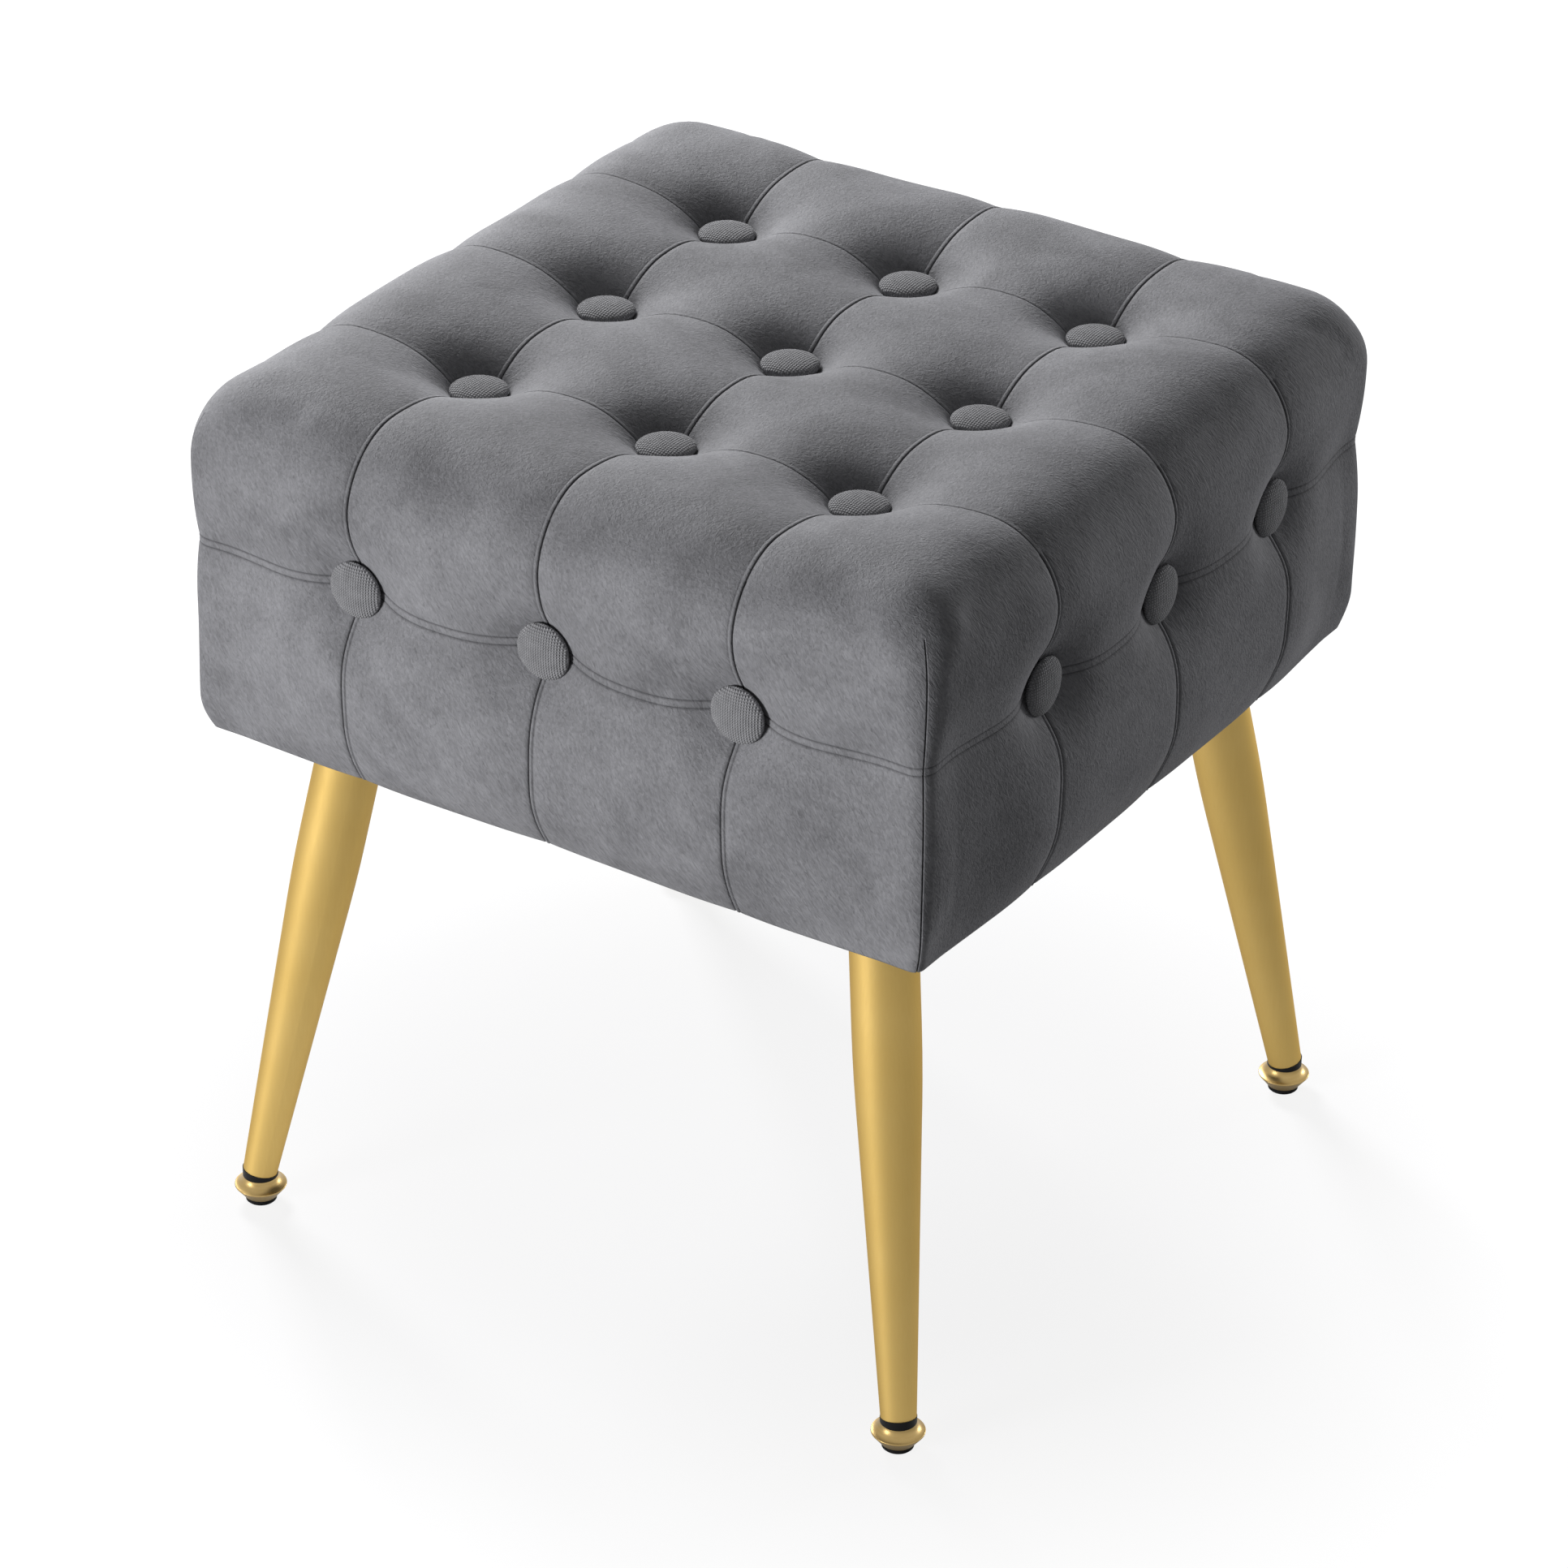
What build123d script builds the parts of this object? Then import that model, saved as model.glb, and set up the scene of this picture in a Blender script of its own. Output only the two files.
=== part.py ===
from build123d import *
import os
from math import cos, radians, sin

os.makedirs("parts", exist_ok=True)

# A square button-tufted footstool on four splayed tube legs with screw-adjusted feet.
# Millimetres. The origin is on the floor under the middle of the seat, +X to the right,
# +Y to the back and +Z up.

# Seat
seat_width = 400.0  # left to right, across the hem
seat_depth = 400.0  # front to back, across the hem
seat_bottom = 270.0  # floor to the underside of the hem
seat_height = 178.0  # hem to the crown of the top pillows
pillow_swell = 12.0  # how far the side pillows stand out beyond the hem
top_edge_radius = 40.0  # roll of the upholstery over the top edges
side_seam_drop = 78.0  # crown to the seam that runs round the sides
top_seam_depth = 7.0  # seams on the top, below the crowns
edge_seam_depth = 2.0  # the same seams where they roll over the top edges
side_seam_depth = 3.5  # seams on the sides, inside the crowns
hem_seam_draw = 1.5  # how far the seams still draw the hem in
corner_draw = 27.0  # how far the side faces fall back past the corner seams
corner_ease = 3.5  # how far the pillows at the corners stay inside the others
corner_drop = 3.0  # how far the top falls there
corner_overrun = 6.0  # length past the crown over which they fall back
edge_overlap = 1.5  # the side rolls pass this far above the top crowns

# Tufting
button_pitch = 103.5
button_radius = 14.0
button_height = 7.0
button_rim = 2.2  # height of the widest line of a button
button_back_radius = 11.0
button_seat_clearance = 1.5  # flat ring round a button at the bottom of its dent
top_button_depth = 22.0  # crown to the back of a top button
side_button_depth = 14.0  # crown to the back of a side button
top_dent_radius = 54.0
side_dent_radius = 44.0
dent_rise = 2.0  # the dent's lip, above the crown
dent_lip_angle = 7.0  # slope of a dent's flank where it fades into the pillows
twine_radius = 1.0
knot_radius = 2.6
knot_length = 4.0
washer_radius = 7.0
washer_thickness = 1.6

# Inside of the seat
cover_under_top_button = 6.0
cover_under_side_button = 18.0
hem_thickness = 1.2
hem_width = 28.0
top_foam = 15.0
side_foam = 10.0
deck_thickness = 9.0
base_thickness = 12.0
rail_thickness = 18.0
block_width = 45.0
block_chamfer = 15.0
block_height = 50.0
dust_cover_thickness = 0.8
dust_cover_margin = 16.0  # hem to the edge of the dust cover

# Wood screws of the frame
screw_head_radius = 4.0
screw_head_height = 2.6
screw_radius = 2.0
frame_screw_length = 34.0
board_screw_length = 32.0
frame_screw_levels = (24.0, 40.0)  # above the base board

# Legs
leg_inset = 54.8  # hem to the leg's axis, at the hem's height
leg_flare = 39.3  # how much further out the axis stands at the foot
leg_radius = 16.0
leg_end_radius = 8.5
leg_wall = 1.2
leg_taper_length = 172.0
leg_taper_blend = 900.0  # radius of the soft turn from the taper to the straight
plate_size = 60.0
plate_thickness = 3.0
plate_corner_radius = 6.0
plate_hole_spacing = 40.0
leg_screw_length = 28.0
leg_screw_head_radius = 4.2
leg_screw_head_height = 2.4

# Feet
pad_height = 3.0
pad_radius = 7.6
pad_chamfer = 0.6
flange_height = 11.4
flange_bottom_radius = 8.3
flange_rim_radius = 12.6
flange_rim_height = 6.0  # rim above the flange's underside
flange_rim_edge = 0.9  # width of the rim's blunt edge
flange_top_radius = 8.6
flange_hollow = 0.6  # how far the upper flare is hollowed
stud_radius = 3.0
stud_depth_in_flange = 8.0
stud_depth_in_plug = 16.0
plug_lip_height = 2.6  # at the leg's axis; the leg's square-cut end makes it a wedge
plug_lip_radius = 8.7
plug_stem_height = 18.0

# Clearances
running_clearance = 0.05  # studs in their bores
fit_clearance = 0.1  # plugs in the tubes
drill_clearance = 0.25  # screws and twine in their holes
foot_gap = 0.2  # foot flange below its plug, screwed right in

# Levels
seat_top = seat_bottom + seat_height
side_seam = seat_top - side_seam_drop
top_seat_level = seat_top - top_button_depth
cavity_top = top_seat_level - cover_under_top_button
deck_top = cavity_top - top_foam
deck_bottom = deck_top - deck_thickness
base_bottom = seat_bottom + hem_thickness
base_top = base_bottom + base_thickness
rail_height = deck_bottom - base_top
dust_cover_bottom = seat_bottom - dust_cover_thickness
leg_top = dust_cover_bottom - plate_thickness
flange_top = pad_height + flange_height - foot_gap
lip_bottom = pad_height + flange_height
leg_bottom = lip_bottom + plug_lip_height

# Half sizes, in plan
half_x = seat_width / 2
half_y = seat_depth / 2
crown_x = half_x + pillow_swell
crown_y = half_y + pillow_swell
side_seat_x = crown_x - side_button_depth
side_seat_y = crown_y - side_button_depth
cavity_x = side_seat_x - cover_under_side_button
cavity_y = side_seat_y - cover_under_side_button
rail_x = cavity_x - side_foam
rail_y = cavity_y - side_foam
inner_x = rail_x - rail_thickness
inner_y = rail_y - rail_thickness
rail_line_x = rail_x - rail_thickness / 2
rail_line_y = rail_y - rail_thickness / 2
leg_head_x = half_x - leg_inset
leg_head_y = half_y - leg_inset
leg_foot_x = leg_head_x + leg_flare
leg_foot_y = leg_head_y + leg_flare

corners = {"front_left": (-1, -1), "front_right": (1, -1), "back_left": (-1, 1), "back_right": (1, 1)}
on_top = (Align.CENTER, Align.CENTER, Align.MIN)
below = (Align.CENTER, Align.CENTER, Align.MAX)


def keep(part, name):
    """Labels one finished piece and writes it."""
    part.label = name
    export_step(part, f"parts/{name}.step")


# Where the buttons sit: one plane per button, on the bottom of its dent, facing out
grid = (-button_pitch, 0.0, button_pitch)
button_seats = {
    "top": [Plane(origin=(x, y, top_seat_level)) for y in grid for x in grid],
    "front": [Plane(origin=(x, -side_seat_y, side_seam), x_dir=(1, 0, 0), z_dir=(0, -1, 0)) for x in grid],
    "back": [Plane(origin=(x, side_seat_y, side_seam), x_dir=(-1, 0, 0), z_dir=(0, 1, 0)) for x in grid],
    "left": [Plane(origin=(-side_seat_x, y, side_seam), x_dir=(0, -1, 0), z_dir=(-1, 0, 0)) for y in grid],
    "right": [Plane(origin=(side_seat_x, y, side_seam), x_dir=(0, 1, 0), z_dir=(1, 0, 0)) for y in grid],
}
side_names = ("front", "back", "left", "right")
side_seats = [seat for name in side_names for seat in button_seats[name]]
top_twine_reach = top_seat_level - deck_bottom
side_twine_reach = cover_under_side_button + side_foam + rail_thickness


# Tufted cover: the velvet with the wadding that is quilted to it
def side_outline(half, side_draw, hem_draw, top, roll):
    """Right half of an outline across the seat, from the hem to the end of the top roll."""
    crown = half + pillow_swell - side_draw
    hem = (half - hem_draw, seat_bottom)
    seam = (crown - side_seam_depth, side_seam)
    roll_start = (crown, top - roll)
    Line((0, seat_bottom), hem)
    ThreePointArc(hem, (crown, (seat_bottom + side_seam) / 2), seam)
    TangentArc(roll_start, seam, tangent=(0, -1))
    TangentArc(roll_start, (crown - roll, top), tangent=(0, 1))
    return crown - roll


def pillow_section(plane, half, side_draw, hem_draw, edge_draw, top_draw):
    """Outline across a column of pillows, with a crown between each two seams on the top."""
    edge = seat_top - edge_draw
    top = seat_top - top_draw
    seam = top - top_seam_depth
    with BuildSketch(plane) as section:
        with BuildLine():
            roll_end = side_outline(half, side_draw, hem_draw, edge, top_edge_radius)
            TangentArc((roll_end, edge), (button_pitch, seam), tangent=(-1, 0))
            ThreePointArc((button_pitch, seam), (button_pitch / 2, top), (0, seam))
            mirror(about=Plane.YZ)
        make_face()
    return section.sketch


def flank_section(plane, half, side_draw, hem_draw, *_):
    """Outline across a row of side pillows, plain on top and clear of the crowns there."""
    top = seat_top + edge_overlap
    with BuildSketch(plane) as section:
        with BuildLine():
            roll_end = side_outline(half, side_draw, hem_draw, top, top_edge_radius + edge_overlap)
            Line((roll_end, top), (0, top))
            mirror(about=Plane.YZ)
        make_face()
    return section.sketch


def cells(crown):
    """Pillows across the seat: seam, crown and seam of each, with how far these draw in the outline."""
    seam = (side_seam_depth, hem_seam_draw, edge_seam_depth, top_seam_depth)
    corner = (corner_draw, hem_seam_draw, corner_drop, corner_drop)
    end = crown + corner_overrun
    seams = [(-end, corner), *((place, seam) for place in grid), (end, corner)]
    eases = (corner_ease, 0.0, 0.0, corner_ease)
    for first, last, ease in zip(seams, seams[1:], eases):
        middle = (first[0] + last[0]) / 2
        yield first, (middle, (ease, 0.0, 0.0, 0.0)), last


def across_x(x):
    return Plane(origin=(x, 0, 0), x_dir=(0, 1, 0), z_dir=(1, 0, 0))


def across_y(y):
    return Plane(origin=(0, y, 0), x_dir=(1, 0, 0), z_dir=(0, -1, 0))


with BuildPart() as columns:
    for cell in cells(crown_x):
        loft([pillow_section(across_x(place), half_y, *draws) for place, draws in cell])

with BuildPart() as flanks:
    for cell in cells(crown_y):
        loft([flank_section(across_y(place), half_x, *draws) for place, draws in cell])


def dent(depth, radius):
    """Funnel that a button pulls into the upholstery, from its flat bottom out past the crown."""
    seat_radius = button_radius + button_seat_clearance
    rise = depth + dent_rise
    inward = (-cos(radians(dent_lip_angle)), -sin(radians(dent_lip_angle)))
    with BuildPart() as funnel:
        with BuildSketch(Plane.XZ):
            with BuildLine():
                Line((0, 0), (seat_radius, 0))
                TangentArc((radius, rise), (seat_radius, 0), tangent=inward)
                Polyline((radius, rise), (0, rise), (0, 0))
            make_face()
        revolve(axis=Axis.Z)
    return funnel.part


top_dent = dent(top_button_depth, top_dent_radius)
side_dent = dent(side_button_depth, side_dent_radius)

with BuildPart() as tufted_cover:
    add(columns.part)
    add(flanks.part, mode=Mode.INTERSECT)
    with Locations(*button_seats["top"]):
        add(top_dent, mode=Mode.SUBTRACT)
    with Locations(*side_seats):
        add(side_dent, mode=Mode.SUBTRACT)
    with Locations((0, 0, base_bottom)):
        Box(2 * cavity_x, 2 * cavity_y, cavity_top - base_bottom, align=on_top, mode=Mode.SUBTRACT)
    with Locations((0, 0, base_bottom)):
        Box(seat_width - 2 * hem_width, seat_depth - 2 * hem_width, 2 * hem_thickness, mode=Mode.SUBTRACT)
    with Locations(*button_seats["top"]):
        Cylinder(twine_radius + drill_clearance, top_twine_reach, align=below, mode=Mode.SUBTRACT)
    with Locations(*side_seats):
        Cylinder(twine_radius + drill_clearance, side_twine_reach, align=below, mode=Mode.SUBTRACT)
keep(tufted_cover.part, "tufted_cover")

# Covered buttons: a domed shell with a turned-in rim and a flat back
with BuildPart() as button:
    with BuildSketch(Plane.XZ):
        with BuildLine():
            Line((0, 0), (button_back_radius, 0))
            TangentArc((button_back_radius, 0), (button_radius, button_rim), tangent=(1, 0))
            TangentArc((0, button_height), (button_radius, button_rim), tangent=(1, 0))
            Line((0, button_height), (0, 0))
        make_face()
    revolve(axis=Axis.Z)

for side, seats in button_seats.items():
    with BuildPart() as buttons:
        with Locations(*seats):
            add(button.part)
    keep(buttons.part, f"{side}_buttons")


# Twine that pulls a button in, knotted under a washer on the far side of the wood
def twine(reach):
    end = reach + washer_thickness
    with BuildPart() as thread:
        Cylinder(twine_radius, end, align=below)
        with Locations((0, 0, -end)):
            Cylinder(knot_radius, knot_length, align=below)
    return thread.part


def washer(reach):
    with BuildPart() as ring:
        with Locations((0, 0, -reach)):
            Cylinder(washer_radius, washer_thickness, align=below)
            Cylinder(twine_radius + drill_clearance, washer_thickness, align=below, mode=Mode.SUBTRACT)
    return ring.part


twine_groups = {"top": (button_seats["top"], top_twine_reach), "side": (side_seats, side_twine_reach)}
for side, (seats, reach) in twine_groups.items():
    with BuildPart() as twines:
        with Locations(*seats):
            add(twine(reach))
    keep(twines.part, f"{side}_twines")
    with BuildPart() as washers:
        with Locations(*seats):
            add(washer(reach))
    keep(washers.part, f"{side}_washers")


# Screws: countersunk ones in the wooden frame, round-headed ones through the leg plates
def countersunk_screw(length, extra=0.0):
    """Head flush with the plane's face, point down; extra widens it into the hole for the screw."""
    with BuildPart() as screw:
        with BuildSketch(Plane.XZ):
            with BuildLine():
                Polyline(
                    (0, 0),
                    (screw_head_radius + extra, 0),
                    (screw_radius + extra, -screw_head_height),
                    (screw_radius + extra, -length - extra),
                    (0, -length - extra),
                    close=True,
                )
            make_face()
        revolve(axis=Axis.Z)
    return screw.part


block_line_x = inner_x - block_width / 2
block_line_y = inner_y - block_width / 2
frame_screw_seats = []
for sx, sy in corners.values():
    for level in frame_screw_levels:
        z = base_top + level
        frame_screw_seats.append(Plane(origin=(sx * block_line_x, sy * rail_y, z), z_dir=(0, sy, 0)))
        frame_screw_seats.append(Plane(origin=(sx * rail_x, sy * block_line_y, z), z_dir=(sx, 0, 0)))

rail_points = []
for sign in (-1, 1):
    for step in (-button_pitch / 2, button_pitch / 2):
        rail_points.append((step, sign * rail_line_y))
        rail_points.append((sign * rail_line_x, step))
deck_screw_seats = [Plane(origin=(x, y, deck_top)) for x, y in rail_points]
base_screw_seats = [Plane(origin=(x, y, base_bottom), z_dir=(0, 0, -1)) for x, y in rail_points]

flare_at_plate = leg_flare * (seat_bottom - leg_top) / (seat_bottom - leg_bottom)
plate_x = leg_head_x + flare_at_plate
plate_y = leg_head_y + flare_at_plate
hole_offset = plate_hole_spacing / 2
leg_screw_points = [
    (sx * plate_x + ox, sy * plate_y + oy)
    for sx, sy in corners.values()
    for ox in (-hole_offset, hole_offset)
    for oy in (-hole_offset, hole_offset)
]
leg_screw_seats = [Plane(origin=(x, y, leg_top), z_dir=(0, 0, -1)) for x, y in leg_screw_points]

screw_groups = {
    "frame_screws": (frame_screw_seats, frame_screw_length),
    "deck_screws": (deck_screw_seats, board_screw_length),
    "base_screws": (base_screw_seats, board_screw_length),
}
for name, (seats, length) in screw_groups.items():
    with BuildPart() as screws:
        with Locations(*seats):
            add(countersunk_screw(length))
    keep(screws.part, name)

with BuildPart() as leg_screw:
    Cylinder(screw_radius, leg_screw_length, align=below)
    with BuildSketch(Plane.XZ):
        with BuildLine():
            Line((0, 0), (leg_screw_head_radius, 0))
            TangentArc((0, leg_screw_head_height), (leg_screw_head_radius, 0), tangent=(1, 0))
            Line((0, leg_screw_head_height), (0, 0))
        make_face()
    revolve(axis=Axis.Z)
with BuildPart() as leg_screws:
    with Locations(*leg_screw_seats):
        add(leg_screw.part)
keep(leg_screws.part, "leg_screws")


def drill_leg_screws():
    """Holes for the leg screws in the piece being made."""
    with Locations(*leg_screw_seats):
        Cylinder(
            screw_radius + drill_clearance,
            leg_screw_length + drill_clearance,
            align=below,
            mode=Mode.SUBTRACT,
        )


def sink_screws(name):
    """Countersunk holes for one group of frame screws in the piece being made."""
    seats, length = screw_groups[name]
    with Locations(*seats):
        add(countersunk_screw(length, drill_clearance), mode=Mode.SUBTRACT)


def drill_twine(seats, reach):
    with Locations(*seats):
        Cylinder(twine_radius + drill_clearance, reach, align=below, mode=Mode.SUBTRACT)


# Foam under the cover
with BuildPart() as top_foam_pad:
    with Locations((0, 0, deck_top)):
        Box(2 * cavity_x, 2 * cavity_y, top_foam, align=on_top)
    drill_twine(button_seats["top"], top_twine_reach)
keep(top_foam_pad.part, "top_foam_pad")

foam_height = deck_top - base_top
for side, sign in (("front", -1), ("back", 1)):
    with BuildPart() as foam:
        with Locations((0, sign * (cavity_y - side_foam / 2), base_top)):
            Box(2 * cavity_x, side_foam, foam_height, align=on_top)
        drill_twine(button_seats[side], side_twine_reach)
    keep(foam.part, f"{side}_foam")
for side, sign in (("left", -1), ("right", 1)):
    with BuildPart() as foam:
        with Locations((sign * (cavity_x - side_foam / 2), 0, base_top)):
            Box(side_foam, 2 * rail_y, foam_height, align=on_top)
        drill_twine(button_seats[side], side_twine_reach)
    keep(foam.part, f"{side}_foam")

# Box frame: deck board, four rails, corner blocks and base board
with BuildPart() as deck_board:
    with Locations((0, 0, deck_bottom)):
        Box(2 * rail_x, 2 * rail_y, deck_thickness, align=on_top)
    drill_twine(button_seats["top"], top_twine_reach)
    sink_screws("deck_screws")
keep(deck_board.part, "deck_board")


def drill_rail(side):
    drill_twine(button_seats[side], side_twine_reach)
    drill_leg_screws()
    for group in screw_groups:
        sink_screws(group)


for side, sign in (("front", -1), ("back", 1)):
    with BuildPart() as rail:
        with Locations((0, sign * rail_line_y, base_top)):
            Box(2 * rail_x, rail_thickness, rail_height, align=on_top)
        drill_rail(side)
    keep(rail.part, f"{side}_rail")
for side, sign in (("left", -1), ("right", 1)):
    with BuildPart() as rail:
        with Locations((sign * rail_line_x, 0, base_top)):
            Box(rail_thickness, 2 * inner_y, rail_height, align=on_top)
        drill_rail(side)
    keep(rail.part, f"{side}_rail")

for corner, (sx, sy) in corners.items():
    with BuildPart() as block:
        with Locations((sx * block_line_x, sy * block_line_y, base_top)):
            Box(block_width, block_width, block_height, align=on_top)
        inner_edge = block.edges().filter_by(Axis.Z).sort_by_distance((0, 0, base_top))[0]
        chamfer(inner_edge, length=block_chamfer)
        drill_leg_screws()
        sink_screws("frame_screws")
    keep(block.part, f"corner_block_{corner}")

with BuildPart() as base_board:
    with Locations((0, 0, base_bottom)):
        Box(2 * cavity_x, 2 * cavity_y, base_thickness, align=on_top)
    drill_leg_screws()
    sink_screws("base_screws")
keep(base_board.part, "base_board")

with BuildPart() as dust_cover:
    with Locations((0, 0, dust_cover_bottom)):
        Box(
            seat_width - 2 * dust_cover_margin,
            seat_depth - 2 * dust_cover_margin,
            dust_cover_thickness,
            align=on_top,
        )
    drill_leg_screws()
keep(dust_cover.part, "dust_cover")


# Legs: each corner has a plate, a splayed tube, a plug and a foot
def leg_frame(sx, sy):
    """Axis of a leg, the plane through it in which its outline is drawn, and the plane of its end."""
    foot = Vector(sx * leg_foot_x, sy * leg_foot_y, leg_bottom)
    head = Vector(sx * leg_head_x, sy * leg_head_y, seat_bottom)
    along = (head - foot).normalized()
    across = Vector(-sy, sx, 0).normalized()
    outline_plane = Plane(origin=foot, x_dir=across, z_dir=across.cross(along))
    return Axis(foot, along), outline_plane, Plane(origin=foot, z_dir=along)


def wall_radius(height):
    """Outer radius of the tube at a distance along its taper."""
    return leg_end_radius + (leg_radius - leg_end_radius) * height / leg_taper_length


overlength = 2 * leg_radius
for corner, (sx, sy) in corners.items():
    leg_axis, leg_plane, leg_end = leg_frame(sx, sy)
    foot_x = sx * leg_foot_x
    foot_y = sy * leg_foot_y

    with BuildPart() as leg_plate:
        with BuildSketch(Plane.XY.offset(leg_top)):
            with Locations((sx * plate_x, sy * plate_y)):
                RectangleRounded(plate_size, plate_size, plate_corner_radius)
        extrude(amount=plate_thickness)
        drill_leg_screws()
    keep(leg_plate.part, f"leg_plate_{corner}")

    with BuildPart() as leg:
        with BuildSketch(leg_plane) as wall:
            with BuildLine():
                Polyline(
                    (leg_end_radius, 0),
                    (leg_radius, leg_taper_length),
                    (leg_radius, seat_bottom + overlength),
                    (leg_radius - leg_wall, seat_bottom + overlength),
                    (leg_radius - leg_wall, leg_taper_length),
                    (leg_end_radius - leg_wall, 0),
                    close=True,
                )
            make_face()
            fillet(wall.vertices().group_by(Axis.Y)[1], radius=leg_taper_blend)
        revolve(axis=leg_axis)
        split(bisect_by=Plane.XY.offset(leg_top), keep=Keep.BOTTOM)
    keep(leg.part, f"leg_{corner}")

    with BuildPart() as lip:
        with Locations((foot_x, foot_y, lip_bottom)):
            Cylinder(plug_lip_radius, 2 * plug_lip_radius, align=on_top)
        split(bisect_by=leg_end, keep=Keep.BOTTOM)

    with BuildPart() as plug:
        with BuildSketch(leg_plane):
            bore_wall = leg_wall + fit_clearance
            with BuildLine():
                Polyline(
                    (0, 0),
                    (leg_end_radius - bore_wall, 0),
                    (wall_radius(plug_stem_height) - bore_wall, plug_stem_height),
                    (0, plug_stem_height),
                    close=True,
                )
            make_face()
        revolve(axis=leg_axis)
        add(lip.part)
        with Locations((foot_x, foot_y, lip_bottom)):
            Cylinder(
                stud_radius + running_clearance,
                plug_lip_height + plug_stem_height,
                align=on_top,
                mode=Mode.SUBTRACT,
            )
    keep(plug.part, f"foot_plug_{corner}")

    with BuildPart() as stud:
        with Locations((foot_x, foot_y, flange_top - stud_depth_in_flange)):
            Cylinder(stud_radius, stud_depth_in_flange + foot_gap + stud_depth_in_plug, align=on_top)
    keep(stud.part, f"foot_stud_{corner}")

    with BuildPart() as flange:
        with BuildSketch(Plane(origin=(foot_x, foot_y, pad_height), x_dir=(1, 0, 0), z_dir=(0, -1, 0))):
            rim_low = flange_rim_height - flange_rim_edge / 2
            rim_high = flange_rim_height + flange_rim_edge / 2
            top = flange_top - pad_height
            flare = (
                (flange_rim_radius + flange_top_radius) / 2 - flange_hollow,
                (rim_high + top) / 2 - flange_hollow,
            )
            with BuildLine():
                Polyline((0, 0), (flange_bottom_radius, 0), (flange_rim_radius, rim_low))
                bulge = (flange_rim_radius + flange_rim_edge / 4, flange_rim_height)
                ThreePointArc((flange_rim_radius, rim_low), bulge, (flange_rim_radius, rim_high))
                ThreePointArc((flange_rim_radius, rim_high), flare, (flange_top_radius, top))
                Polyline((flange_top_radius, top), (0, top), (0, 0))
            make_face()
        revolve(axis=Axis((foot_x, foot_y, 0), (0, 0, 1)))
        with Locations((foot_x, foot_y, flange_top)):
            Cylinder(stud_radius + running_clearance, stud_depth_in_flange, align=below, mode=Mode.SUBTRACT)
    keep(flange.part, f"foot_flange_{corner}")

    with BuildPart() as pad:
        with Locations((foot_x, foot_y, 0)):
            Cylinder(pad_radius, pad_height, align=on_top)
        chamfer(pad.edges().group_by(Axis.Z)[0], length=pad_chamfer)
    keep(pad.part, f"foot_pad_{corner}")
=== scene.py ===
# %% [markdown]
# # A button-tufted footstool
#
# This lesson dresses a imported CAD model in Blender. The frame, the joints and every size come from that
# model; Blender adds what CAD leaves plain: the swollen velvet cover, its stitched seams, the covered
# buttons and the finishes of brass, pine and plywood. Each step explains one piece and then makes it.

# %% Load the frame
import math

import bpy
import numpy as np
from mathutils import Matrix, Vector


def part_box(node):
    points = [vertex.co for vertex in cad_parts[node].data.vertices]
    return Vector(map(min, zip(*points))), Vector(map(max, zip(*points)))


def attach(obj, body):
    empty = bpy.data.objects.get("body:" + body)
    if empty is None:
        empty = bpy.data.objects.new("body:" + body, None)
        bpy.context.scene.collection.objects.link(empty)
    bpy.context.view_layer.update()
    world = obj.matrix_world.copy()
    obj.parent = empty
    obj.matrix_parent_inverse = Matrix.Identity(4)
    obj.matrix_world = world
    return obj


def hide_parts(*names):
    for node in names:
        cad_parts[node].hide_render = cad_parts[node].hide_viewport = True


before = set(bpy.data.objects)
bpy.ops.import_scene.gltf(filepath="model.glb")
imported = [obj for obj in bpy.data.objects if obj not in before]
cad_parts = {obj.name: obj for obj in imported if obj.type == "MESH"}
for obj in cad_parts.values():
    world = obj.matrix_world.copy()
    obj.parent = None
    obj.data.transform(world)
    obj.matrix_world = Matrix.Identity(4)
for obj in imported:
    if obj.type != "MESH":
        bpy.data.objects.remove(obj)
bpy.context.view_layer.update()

MM = 0.001


bpy.ops.object.select_all(action="DESELECT")

# %% [markdown]
# ## Camera
#
# The photograph was taken with a long lens from the front right, looking down by about thirty degrees. The
# camera was solved from the button centres and the feet, so it is given as a place, two angles, a slight
# roll and a lens. A camera could also be dragged into place by eye, but a solved one keeps the outline on
# the photograph's.

# %% Camera of the photograph
# The place is in metres and the angles are in radians.
camera_place = Vector((1.35971, -2.12851, 1.65823))
camera_turn = 0.568650
camera_dip = 0.521780
camera_roll = 0.012630
focal_pixels = 7434.49
image_pixels = 1932
sensor_width = 36.0

camera = bpy.data.cameras.new("photo_camera")
camera.sensor_width = sensor_width
camera.lens = focal_pixels / image_pixels * sensor_width
camera_object = bpy.data.objects.new("photo_camera", camera)
bpy.context.scene.collection.objects.link(camera_object)
camera_object.matrix_world = (
    Matrix.Translation(camera_place)
    @ Matrix.Rotation(camera_turn, 4, "Z")
    @ Matrix.Rotation(math.pi / 2 - camera_dip, 4, "X")
    @ Matrix.Rotation(camera_roll, 4, "Z")
)
bpy.context.scene.camera = camera_object
bpy.context.scene.view_settings.view_transform = "Standard"
print("lens:", round(camera.lens, 1), "mm")

# %% [markdown]
# ## Colours and nodes
#
# Colours are easiest to read off a photograph as sRGB hex values, while shaders work with linear light, so
# one function turns the first into the second. A second one adds a node, fills its sockets and links it,
# which keeps each material below to the few lines that say what it is.

# %% Helpers for the materials
def colour(hex_code):
    """The linear RGBA of an sRGB hex colour."""
    channels = [int(hex_code[i:i + 2], 16) / 255 for i in (1, 3, 5)]
    linear = [c / 12.92 if c <= 0.04045 else ((c + 0.055) / 1.055) ** 2.4 for c in channels]
    return (*linear, 1.0)


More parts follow.
